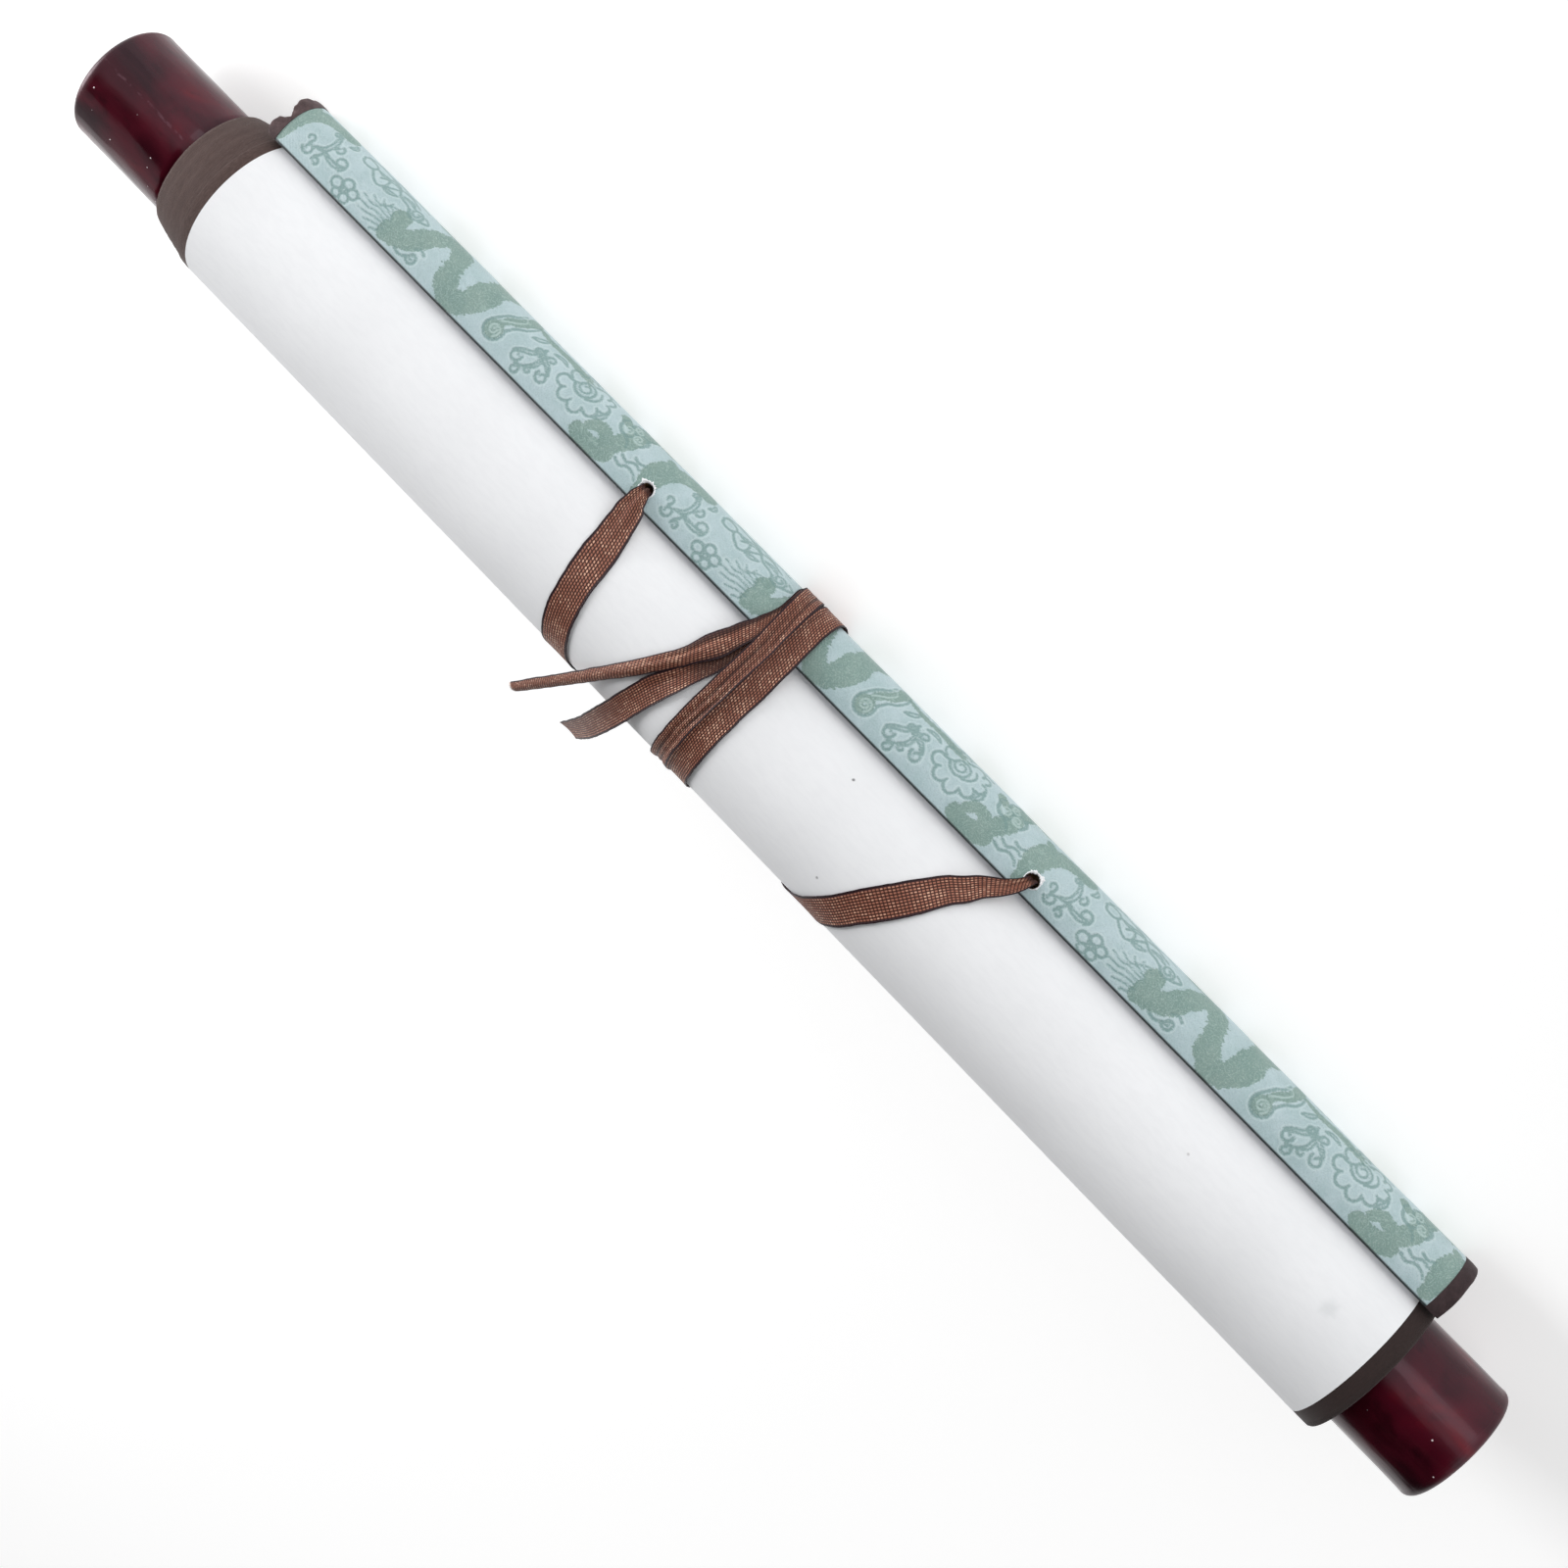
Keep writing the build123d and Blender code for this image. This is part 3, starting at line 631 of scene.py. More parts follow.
# The route's points: run along the outline and x from the middle of the sheet.
ROUTE_RIGHT = [
    (-16.3, -58.3), (-12.5, -58.0), (-8.5, -56.8), (-4.2, -55.6), (0.0, -54.8),
    (7.0, -53.8), (14.0, -52.9), (21.0, -52.1), (28.0, -51.2), (35.0, -49.8),
    (42.0, -48.1), (49.0, -45.9), (56.0, -42.8), (63.0, -39.1), (70.0, -34.9),
    (76.0, -30.9), (80.8, -28.0), (89.6, -23.2), (98.4, -19.0), (102.4, -17.8),
    (106.5, -17.1), (110.6, -16.5), (114.6, -15.9), (118.5, -15.5), (127.3, -14.9),
    (136.1, -14.8), (143.1, -15.1), (150.1, -15.6), (157.1, -16.1), (164.1, -16.6),
    (171.1, -16.9), (178.1, -17.1), (185.1, -17.2), (192.1, -17.3), (199.1, -17.5),
    (206.1, -17.5), (212.1, -17.6), (217.0, -17.6), (225.7, -17.5), (234.6, -17.4),
    (238.5, -17.4), (242.6, -17.3), (246.7, -17.3), (250.7, -17.4), (254.7, -18.0),
    (263.4, -20.3), (272.3, -23.6), (279.3, -27.5), (286.3, -32.4), (293.3, -37.3),
    (300.3, -42.0), (307.3, -46.5), (314.3, -50.8), (320.3, -54.4),
]
ROUTE_LEFT = [
    (-16.3, 59.7), (-12.5, 57.8), (-8.5, 54.4), (-4.2, 50.9), (0.0, 47.8), (7.0, 43.3),
    (14.0, 38.7), (21.0, 34.6), (28.0, 30.6), (35.0, 26.5), (42.0, 22.3), (49.0, 18.1),
    (56.0, 13.9), (63.0, 9.8), (70.0, 5.6), (76.0, 1.9), (80.8, -0.9), (89.6, -5.3),
    (98.4, -8.8), (102.4, -9.7), (106.5, -10.2), (110.6, -10.4), (114.6, -10.3),
    (118.5, -10.1), (127.3, -9.6), (136.1, -9.3), (143.1, -9.6), (150.1, -10.0),
    (157.1, -10.5), (164.1, -10.9), (171.1, -11.1), (178.1, -11.3), (185.1, -11.4),
    (192.1, -11.5), (199.1, -11.5), (206.1, -11.6), (212.1, -11.6), (217.0, -11.6),
    (225.7, -11.5), (234.6, -11.4), (238.5, -11.4), (242.6, -11.4), (246.7, -11.6),
    (250.7, -12.2), (254.7, -13.2), (263.4, -16.3), (272.3, -19.8), (279.3, -23.0),
    (286.3, -26.0), (293.3, -28.5), (300.3, -30.8), (307.3, -32.9), (314.3, -34.9),
    (321.3, -37.0), (328.3, -39.2), (335.3, -41.4), (344.7, -44.4),
]
TAIL_SHORT = Tail(
    TT + TOP_RUN - ROLL_R * math.radians(33.0),
    [
        (-10.57, 16.27), (-8.84, 17.27), (-7.02, 18.11), (-5.14, 18.79), (-3.22, 19.33),
        (-1.26, 19.74), (0.72, 20.03), (2.71, 20.21), (6.91, 20.33), (11.11, 20.17),
        (15.29, 19.83), (19.47, 19.39), (23.64, 18.9), (28.38, 18.33),
    ],
)
TAIL_LONG = Tail(
    TT + TOP_RUN - ROLL_R * math.radians(28.0),
    [
        (-9.11, 17.13), (-7.3, 17.98), (-5.41, 18.65), (-3.48, 19.15), (-1.51, 19.49),
        (0.48, 19.67), (2.48, 19.71), (4.48, 19.62), (8.64, 19.04), (12.72, 18.04),
        (16.69, 16.7), (20.57, 15.09), (24.37, 13.28), (28.09, 11.34), (31.75, 9.29),
        (35.38, 7.17), (38.98, 5.01), (42.57, 2.83), (46.16, 0.65), (48.06, -0.52),
    ],
)


def proud(run):
    """0 where the bundle stands on the ribbon, 1 where the ribbon may stand proud."""
    r = run % T
    if r < 60.0:
        return 1.0
    if r < 72.0:
        return 1.0 - smooth(60.0, 72.0, r)
    if r < 104.0:
        return 0.0
    return smooth(104.0, 112.0, r)


def layer_height(layers, run):
    return GAP + PITCH * flat_along(layers, run) * (1.0 + 0.9 * proud(run)) + THICK / 2


def route_line(name, rows, layers, tail):
    """The route's NURBS spline, and the points Blender reads from it (mm)."""
    hole = direction(STAVE_ANGLE + HOLE_ANGLE)
    x0 = SHEET_X - rows[0][1]
    control = [
        (x0, *(STAVE_C + (STAVE_R - depth) * hole)) for depth in (7.0, 4.0, 1.6)
    ]
    for i, (run, x) in enumerate(rows):
        p, n = tail.at(run) if run > tail.lift else outline(run)
        a = rows[max(i - 1, 0)][0]
        b = rows[min(i + 1, len(rows) - 1)][0]
        step = min(run - a if i else b - run, b - run if i < len(rows) - 1 else run - a)
        r = run % T
        ends = (0.0, ROLL_ARC, ROLL_ARC + BRIDGE, ROLL_ARC + BRIDGE + STAVE_ARC, T)
        share = 0.5 if min(abs(r - e) for e in ends) < 0.5 else 1.0
        if run > tail.lift:
            lift = 0.0
        elif r < ROLL_ARC + 0.1 or r > T - 0.1:
            lift = share * step**2 / (8 * ROLL_R)
        elif ROLL_ARC + BRIDGE - 0.1 < r < ROLL_ARC + BRIDGE + STAVE_ARC + 0.1:
            lift = share * step**2 / (8 * STAVE_R)
        else:
            lift = 0.0
        p = p + n * (layer_height(layers, run) + lift)
        control.append((SHEET_X - x, *p))
    cu = bpy.data.curves.new(name + "_route", "CURVE")
    cu.dimensions = "3D"
    sp = cu.splines.new("NURBS")
    sp.points.add(len(control) - 1)
    for point, co in zip(sp.points, control):
        point.co = (co[0] * MM, co[1] * MM, co[2] * MM, 1.0)
    sp.order_u = 3
    sp.use_endpoint_u = True
    cu.resolution_u = 10
    obj = bpy.data.objects.new(name + "_route", cu)
    bpy.context.scene.collection.objects.link(obj)
    bpy.context.view_layer.update()
    me = bpy.data.meshes.new_from_object(obj)
    line = np.array([v.co[:] for v in me.vertices]) / MM
    bpy.data.meshes.remove(me)
    bpy.data.objects.remove(obj)
    bpy.data.curves.remove(cu)
    keep = [0]
    for i in range(1, len(line)):
        if np.linalg.norm(line[i] - line[keep[-1]]) > 0.05:
            keep.append(i)
    return line[keep]


COLS = 21
U = np.sin(np.linspace(-1, 1, COLS) * math.pi / 2) * 0.72 + np.linspace(-1, 1, COLS) * 0.28


def ribbon(name, rows, plus, minus, layers, tail, end, cut, shape, seed):
    """Closed thin strip that follows the route, with its folds and cupping.

    plus and minus give how far each edge stands from the route's line.
    shape(run, u) gives how far the cloth stands off, and how much painted shade it gets in folds, in the hole and
    near the knot.
    """
    line = route_line(name, rows, layers, tail)
    table = [(run, SHEET_X - x) for run, x in rows]
    probe = np.arange(rows[0][0], end + 0.01, 0.25)
    centre = []
    for r in probe:
        p, n = tail.at(r) if r > tail.lift else outline(r)
        p = p + n * layer_height(layers, r)
        centre.append((along(table, r), p[0], p[1]))
    centre = np.array(centre)
    mouth = rows[0][0]
    rings, cloths, edges, folds, tips = [], [], [], [], []
    at = 0
    run_now = mouth - 9.0
    travelled = 0.0
    last = None
    u_all = U
    for i, p in enumerate(line):
        if last is not None:
            travelled += float(np.linalg.norm(p - last))
        last = p
        window = slice(max(at - 2, 0), at + 26)
        d = np.linalg.norm(centre[window] - p, axis=1)
        j = int(d.argmin())
        at = max(at - 2, 0) + j
        # refine between samples
        run = float(probe[at])
        if 0 < at < len(probe) - 1:
            t = centre[at + 1] - centre[at - 1]
            run += float(np.dot(p - centre[at], t) / np.dot(t, t)) * 0.5
        run = min(max(run, mouth), end)
        early = run <= mouth + 1.6
        x_at = float(p[0])
        slope = (along(table, run + 0.5) - along(table, run - 0.5)) / 1.0
        slope *= smooth(mouth + 1.0, mouth + 7.0, run)
        c = 1.0 / math.hypot(1.0, slope)
        s = slope * c
        if early:
            before = line[max(i - 1, 0)]
            after = line[min(i + 1, len(line) - 1)]
            t = after - before
            t = t / np.linalg.norm(t)
            n_ring = np.array((t[2], -t[1]))
            n_ring = n_ring / np.hypot(*n_ring)
            # the outer face looks away from the stave's drill wall
            if np.dot(n_ring, direction(STAVE_ANGLE + HOLE_ANGLE) - 1.2 * direction(STAVE_ANGLE + HOLE_ANGLE + 90.0)) < 0:
                n_ring = -n_ring
            centre_h = 0.0
        else:
            o, n0 = tail.at(run) if run > tail.lift else outline(run)
            centre_h = float(np.dot(p[1:] - o, n0))
        pseudo = run if not early else mouth + 1.6 - (0.0 if i == 0 else 0.0)
        qp = flat_along(plus, run) + 0.07 * wobble(run, seed, 3.1) + 0.05 * wobble(run, seed + 5, 1.2)
        qm = flat_along(minus, run) + 0.07 * wobble(run, seed + 9, 2.7) + 0.05 * wobble(run, seed + 7, 1.1)
        ring, cloth, edge, fold = [], [], [], []
        for u in u_all:
            q = qm + (qp - qm) * (u + 1) / 2
            rr = run - q * s
            if end - run < 9.0:
                rr += cut * q * smooth(end - 9.0, end, run)
            h, f = shape(run, u)
            if early:
                m, n = p[1:], n_ring
                base = m
                top = base + n * (h + THICK / 2)
                low = base + n * (h - THICK / 2)
            else:
                o, n = tail.at(rr) if rr > tail.lift else outline(rr)
                beyond = rr - (tail.lift + tail.length[-1])
                if beyond > 0:
                    o = o + np.array((n[1], -n[0])) * beyond
                top = o + n * (centre_h + h + THICK / 2)
                low = o + n * (centre_h + h - THICK / 2)
            ring.append(((x_at + q * c, *top), (x_at + q * c, *low)))
            half = (qp - qm) / 2
            cloth.append((u * 4.0, travelled + (rr - run), seed))
            edge.append((1 - abs(u)) * 4.0)
            fold.append(f)
        rings.append(ring)
        cloths.append(cloth)
        edges.append(edge)
        folds.append(fold)
        tips.append([end - run] * COLS)
    rings = np.array(rings)  # N, COLS, 2, 3
    rings[..., 2] = np.maximum(rings[..., 2], (0.02, 0.004))
    n = len(rings)
    points = np.concatenate((rings[:, :, 0].reshape(-1, 3), rings[:, :, 1].reshape(-1, 3)))
    faces = grid_faces(n, COLS)
    size = n * COLS
    faces += grid_faces(n, COLS, start=size, flip=True)
    for i in range(n - 1):
        a, b = i * COLS, (i + 1) * COLS
        faces.append((a, b, b + size, a + size))
        a, b = a + COLS - 1, b + COLS - 1
        faces.append((b, a, a + size, b + size))
    for j in range(COLS - 1):
        faces.append((j, j + size, j + 1 + size, j + 1))
        a = (n - 1) * COLS + j
        faces.append((a + 1, a + 1 + size, a + size, a))
    two = lambda v: np.concatenate((np.array(v).reshape(size, -1),) * 2)
    obj = build(
        name,
        points,
        faces,
        SATIN,
        replaces=(name.replace("_satin", ""),),
        attributes=(
            ("cloth", "FLOAT_VECTOR", two(cloths)),
            ("edge", "FLOAT", two(edges)),
            # fold carries the painted shade worked out by shape()
            ("fold", "FLOAT", two(folds)),
            ("tip", "FLOAT", two(tips)),
        ),
    )
    length = float(np.linalg.norm(np.diff(line, axis=0), axis=1).sum())
    return obj, line, length


def gather(u, folds, depth, sharp=0.32):
    """Lengthwise folds: rounded ridges with narrow valleys at the given places, and the painted shade that darkens
    each valley.
    """
    h, dark = 1.0, 0.0
    for place in folds:
        d = abs(u - place) / sharp
        dip = math.exp(-d * d)
        h = min(h, 1.0 - dip)
        dark = max(dark, math.exp(-(d * 1.5) ** 2))
    return depth * h, dark


def shape_right(run, u):
    """How the ribbon from the hole at +X lies: mouth, wrap, band, short tail, and where painted shade darkens it."""
    g = proud(run)
    h = 0.10 * u * u * g
    dark = 0.0
    # crumpled at the mouth, with painted shade in its folds and deep in the hole
    w = 1.0 - smooth(-14.0, 4.0, run)
    if w > 0:
        a, f = gather(u, (-0.35 + 0.02 * run, 0.42), 0.55, 0.3)
        h += w * a * (1 - u * u * 0.5)
        dark = max(dark, w * f * 0.35)
        dark = max(dark, 1.2 * (1.0 - smooth(-16.5, -14.2, run)))
    # gathered where it joins the band, with painted shade in the fold valleys
    w = smooth(60.0, 92.0, run) * (1.0 - smooth(TT - 40.0, TT - 26.0, run))
    if w > 0 and g > 0:
        drift = 0.16 * math.sin(run / 8.0) + 0.07 * math.sin(run / 2.9)
        a, f = gather(u, (-0.42 + drift, 0.18 + 0.5 * drift), 0.36, 0.26)
        h += w * g * a
        dark = max(dark, w * f * (0.70 + 0.25 * math.sin(run / 5.1 + 4.0 * u)))
    # painted shade near the knot, where the band and the tail shade the ribbon
    shade = smooth(TT - 30.0, TT - 20.0, run) * (1.0 - smooth(TT - 2.0, TT + 14.0, run))
    dark = max(dark, shade * 0.95 * smooth(0.1, 0.7, u))
    dark = max(dark, shade * 0.8 * smooth(-0.45, -0.9, u) if u < -0.45 else 0.0)
    # the short tail: crowned, both edges down, with one sharp fold at its start
    w = smooth(TT - 12.0, TT - 4.0, run)
    if w > 0:
        crown = 1.15 * smooth(TT - 12.0, TT - 2.0, run) * (1.0 - 0.35 * smooth(TT + 8.0, TT + 40.0, run))
        h += w * crown * (1 - abs(u) ** 1.8)
        k = w * (1.0 - smooth(TT + 2.0, TT + 16.0, run))
        a, f = gather(u, (0.30,), 0.45, 0.2)
        h += k * (a - 0.45)
    return h, dark


def shape_left(run, u):
    """How the ribbon from the hole at -X lies, and where painted shade darkens it."""
    g = proud(run)
    h = 0.10 * u * u * g
    dark = 0.0
    # crumpled at the mouth, with painted shade in its folds and deep in the hole
    w = 1.0 - smooth(-13.0, 6.0, run)
    if w > 0:
        a, f = gather(u, (0.1, 0.62), 0.5, 0.3)
        h += w * a * (1 - u * u * 0.5)
        dark = max(dark, w * f * 0.3)
        dark = max(dark, 1.2 * (1.0 - smooth(-16.5, -14.2, run)))
    # gathered where it joins the band, with a painted shade line along one fold
    w = smooth(66.0, 96.0, run) * (1.0 - smooth(TT - 40.0, TT - 28.0, run))
    if w > 0 and g > 0:
        drift = 0.10 * math.sin(run / 7.0 + 1.0) + 0.05 * math.sin(run / 2.6)
        h += w * g * 0.34 * smooth(0.62, 0.86, u)
        fade = 0.30 + 0.30 * math.sin(run / 4.3)
        dark = max(dark, w * fade * math.exp(-(((u - 0.66 - drift) / 0.16) ** 2)))
    # the tail's start: cupped, with painted shade in its fold
    w = smooth(TT - 4.0, TT + 10.0, run)
    if w > 0:
        h += w * (0.30 * u * u + 0.12 * math.sin(run / 6.5) * u)
        k = 1.0 - smooth(TT + 4.0, TT + 24.0, run)
        a, f = gather(u, (0.25,), 0.35, 0.3)
        h += w * k * a
        dark = max(dark, w * k * f * 0.5)
    # painted shade where the tail comes out from under the band
    dark = max(dark, 0.7 * smooth(TT - 14.0, TT - 4.0, run) * (1.0 - smooth(TT + 2.0, TT + 9.0, run)))
    return h, dark


PLUS_RIGHT = [
    (-16.3, 1.45), (-13.0, 2.3), (-9.7, 3.28), (-3.6, 3.82), (1.7, 4.11), (8.8, 3.87),
    (15.9, 3.94), (22.5, 3.6), (30.2, 3.76), (50.0, 3.9), (72.0, 4.0), (98.0, 3.0),
    (108.0, 2.7), (T, 2.6), (T + 31.0, 2.7), (TT - 26.0, 2.6), (TT - 17.5, 1.4),
    (TT - 13.0, 1.9), (TT - 9.0, 2.5), (TT - 2.6, 2.9), (TT + 4.4, 1.9), (TT + 12.0, 2.0),
    (TT + 20.0, 1.8), (TT + 32.0, 1.55), (TT + 48.0, 1.4),
]
MINUS_RIGHT = [
    (-16.3, -1.45), (-13.0, -2.4), (-10.6, -3.24), (-6.7, -3.42), (-1.2, -3.86),
    (3.8, -4.08), (9.4, -3.81), (15.8, -4.02), (26.5, -4.3), (50.0, -4.1), (72.0, -4.0),
    (98.0, -3.0), (108.0, -2.6), (T, -2.2), (T + 31.0, -2.3), (TT - 26.0, -2.6),
    (TT - 17.5, -1.4), (TT - 13.0, -1.9), (TT - 8.2, -2.5), (TT - 3.0, -3.1),
    (TT + 3.7, -2.1), (TT + 11.5, -1.55), (TT + 21.0, -1.3), (TT + 32.0, -1.4),
    (TT + 48.0, -1.4),
]
PLUS_LEFT = [
    (-16.3, 1.1), (-12.3, 1.5), (-6.2, 2.56), (-0.1, 3.44), (6.7, 3.77), (13.0, 3.99),
    (18.4, 3.89), (25.5, 3.97), (72.0, 4.0), (94.0, 3.2), (108.0, 3.4), (T, 3.8),
    (T + 31.0, 3.8), (TT - 28.0, 2.6), (TT - 12.0, 1.6), (TT - 4.0, 1.9), (TT + 6.6, 2.4),
    (TT + 14.0, 3.2), (TT + 21.0, 3.0), (TT + 50.0, 3.0), (TT + 72.5, 3.1),
]
MINUS_LEFT = [
    (-16.3, -1.2), (-13.0, -1.87), (-8.1, -2.43), (-3.6, -3.19), (5.8, -3.85),
    (15.0, -3.73), (20.7, -3.97), (72.0, -4.0), (94.0, -2.8), (108.0, -2.5), (T, -2.45),
    (T + 31.0, -2.6), (TT - 28.0, -2.5), (TT - 12.0, -1.3), (TT - 4.0, -1.3),
    (TT + 2.0, -2.3), (TT + 10.0, -3.0), (TT + 26.0, -3.3), (TT + 50.0, -3.0),
    (TT + 72.5, -2.9),
]
LAYERS_RIGHT = [
    (87.0, 0.0), (99.0, 1.0), (T - 30.0, 1.0), (T - 20.0, 2.0), (T - 1.0, 2.0),
    (T + 12.0, 0.0), (TT - 30.0, 0.0), (TT - 20.0, 1.0), (TT + 14.0, 1.0), (TT + 22.0, 0.0),
]
LAYERS_LEFT = [(87.0, 0.0), (99.0, 1.0), (T - 8.0, 1.0), (T + 8.0, 0.0)]

for name, rows, plus, minus, layers, tail, end, cut, shape, seed in (
    ("ribbon_right_satin", ROUTE_RIGHT, PLUS_RIGHT, MINUS_RIGHT, LAYERS_RIGHT,
     TAIL_SHORT, TT + 48.0, 0.25, shape_right, 3),
    ("ribbon_left_satin", ROUTE_LEFT, PLUS_LEFT, MINUS_LEFT, LAYERS_LEFT,
     TAIL_LONG, TT + 72.4, 0.3, shape_left, 17),
):
    obj, line, length = ribbon(name, rows, plus, minus, layers, tail, end, cut, shape, seed)
    print(name, "line", round(length, 1), "mm")


# ---- the brocade -----------------------------------------------------------
REPEAT = 116.7
PX = 16.0  # the drawing below is in sixteenths of a millimetre


def bend(points, steps=6):
    """A smooth line through points."""
    p = np.array(points, float)
    if len(p) < 3:
        return p
    q = np.vstack((2 * p[0] - p[1], p, 2 * p[-1] - p[-2]))
    out = []
    for i in range(1, len(q) - 2):
        for k in range(steps):
            t = k / steps
            out.append(
                0.5
                * (
                    2 * q[i]
                    + (q[i + 1] - q[i - 1]) * t
                    + (2 * q[i - 1] - 5 * q[i] + 4 * q[i + 1] - q[i + 2]) * t**2
                    + (3 * q[i] - q[i - 1] - 3 * q[i + 1] + q[i + 2]) * t**3
                )
            )
    out.append(p[-1])
    return np.array(out)


def curl(x, y, r, start, turns, inner=0.22):
    """A spiral from radius r inwards; start in degrees, turns may be negative."""
    n = max(8, int(abs(turns) * 16))
    t = np.linspace(0, 1, n)
    a = np.radians(start) + t * turns * 2 * math.pi
    rr = r * (1 - (1 - inner) * t)
    return np.stack((x + rr * np.cos(a), y + rr * np.sin(a)), 1)


def ring(x, y, r, start=0, sweep=360, squash=1.0):
    a = np.radians(np.linspace(start, start + sweep, max(8, int(abs(sweep) / 20))))
    return np.stack((x + r * np.cos(a), y + r * squash * np.sin(a)), 1)


def motif():
    """Strokes of the woven figure: (kind, line, half widths at its ends, spikes)."""
    s = []

    def fill(points, w0, w1=None, spikes=0.0, steps=6):
        s.append(("fill", bend(points, steps), w0, w0 if w1 is None else w1, spikes))

    def line(points, w=5.2, smooth_it=True):
        pts = bend(points) if smooth_it else np.array(points, float)
        s.append(("line", pts, w, w * 0.8, 0.0))

    def pale(points, w=3.6):
        s.append(("pale", np.array(points, float), w, w * 0.8, 0.0))

    def leaf(points, wide, w=4.4):
        """Two lines that part and meet again."""
        pts = bend(points)
        d = np.gradient(pts, axis=0)
        n = np.stack((-d[:, 1], d[:, 0]), 1) / np.hypot(d[:, 0], d[:, 1])[:, None]
        part = np.sin(np.linspace(0, math.pi, len(pts)))[:, None] ** 0.7
        line(pts + n * wide * part, w, smooth_it=False)
        line(pts - n * wide * part * 0.6, w, smooth_it=False)

    # the long winding body, with a mane of short spikes
    fill([(480, 62), (520, 78), (565, 108), (595, 160), (630, 212), (670, 246), (705, 232),
          (730, 180), (748, 120), (775, 72), (815, 52), (860, 76), (885, 130), (896, 200),
          (908, 262), (928, 322)], 25, 44, 34.0)
    # its tail, a fan of long hairs that spring from a dark tuft
    fill([(464, 58), (484, 98), (476, 134)], 30, 32, 14.0)
    for k, (x, y) in enumerate(((420, 24), (372, 38), (332, 56), (310, 80), (314, 104),
                                (342, 125), (378, 142), (414, 156))):
        root = 48 + 13 * k
        line([(446 + 7 * (k * 2 % 3), root), ((440 + x) / 2 + 14, (root + y) / 2 + 4),
              ((440 + x) / 2 - 14, (root + y) / 2 - 5), (x, y)], 3.2)
    fill([(470, 52), (500, 66), (512, 96)], 30, 22, 5.0)
    line([(536, 44), (566, 38), (592, 52), (616, 74)])
    line(curl(612, 60, 25, 200, 1.3), smooth_it=False)
    line([(640, 96), (618, 104), (596, 92)])
    # standing cloud with a curled head
    fill(ring(1008, 92, 20), 17)
    fill([(1012, 128), (1026, 156), (1054, 184), (1070, 226), (1076, 262)], 15, 26)
    pale(curl(1010, 92, 27, -60, 1.6))
    pale(bend([(1004, 132), (1022, 150), (1046, 172), (1062, 206), (1046, 226), (1030, 212)]))
    line(ring(1010, 92, 40, 150, 250), smooth_it=False)
    line([(975, 112), (990, 140), (1006, 170), (1030, 200), (1040, 240)])
    line([(1046, 118), (1062, 150), (1088, 176), (1102, 214), (1100, 250)])
    # vine tendrils
    for x, y, r, a, t in ((1132, 84, 21, 20, -1.3), (1258, 90, 22, 160, 1.4),
                          (1178, 152, 18, -40, 1.3), (1236, 162, 16, 200, -1.2),
                          (1204, 74, 15, 90, 1.1), (1160, 44, 17, 60, -1.2)):
        line(curl(x, y, r * 1.2, a, t * 0.75, 0.34), smooth_it=False)
    leaf([(1112, 92), (1138, 110), (1168, 128), (1188, 158), (1192, 186)], 9)
    leaf([(1194, 80), (1212, 108), (1206, 148)], 9)
    leaf([(1270, 108), (1246, 132), (1216, 146), (1194, 170)], 9)
    leaf([(1120, 176), (1150, 196), (1166, 224)], 10)
    leaf([(1216, 196), (1250, 206), (1282, 196)], 9)
    line([(1150, 60), (1176, 70), (1196, 92)])
    # peony scroll
    line(curl(1390, 186, 46, 200, 1.9), 5.0, smooth_it=False)
    for x, y, r, a, b in ((1318, 146, 27, 120, 200), (1358, 112, 28, 170, 190),
                          (1412, 104, 27, 200, 190), (1462, 132, 25, 230, 200),
                          (1488, 176, 22, 260, 210), (1330, 206, 26, 60, 200),
                          (1372, 246, 24, 20, 190), (1440, 236, 27, -20, 200),
                          (1480, 226, 18, 300, 220)):
        line(ring(x, y, r, a, b), smooth_it=False)
    line([(1304, 172), (1330, 170), (1352, 180), (1370, 200)])
    line([(1420, 150), (1444, 168), (1452, 196), (1438, 222)])
    line([(1400, 234), (1424, 256), (1460, 268), (1500, 262)])
    leaf([(1336, 262), (1372, 276), (1410, 272)], 9)
    leaf([(1490, 120), (1512, 150), (1506, 186)], 9)
    # the head-down beast: a dark body broken by cloud heads
    fill([(1482, 50), (1520, 40), (1566, 46), (1604, 62)], 34, 38, 4.0)
    fill([(1500, 92), (1528, 118), (1566, 112), (1596, 92)], 20, 26, 3.0)
    fill([(1584, 66), (1616, 116), (1642, 166), (1640, 222), (1662, 280)], 32, 40, 5.0)
    fill([(1560, 228), (1590, 212), (1612, 226)], 22, 16)
    for x, y, r, a, t in ((1600, 196, 24, 200, 1.5), (1652, 192, 23, -20, -1.5), (1628, 232, 22, 90, 1.4)):
        pale(curl(x, y, r, a, t))
        line(ring(x, y, r + 11, a - 20, 200), smooth_it=False)
    line([(1572, 236), (1560, 210), (1576, 182), (1604, 164), (1634, 150), (1648, 128)])
    line([(1680, 176), (1690, 204), (1676, 232), (1690, 252)])
    # drifting smoke
    line([(1648, 76), (1678, 68), (1704, 84), (1736, 80), (1754, 66)])
    line([(1660, 102), (1688, 94), (1714, 110), (1744, 104)])
    line([(1700, 128), (1724, 122), (1748, 134)])
    # the broad leaf that runs on to the next repeat
    fill([(1792, 46), (1804, 120), (1826, 186), (1880, 236), (1962, 252)], 30, 36, 4.0)
    fill([(1786, 236), (1820, 214), (1850, 240)], 20, 24, 3.0)
    fill([(1786, 74), (1772, 130), (1790, 190)], 26, 30, 5.0)
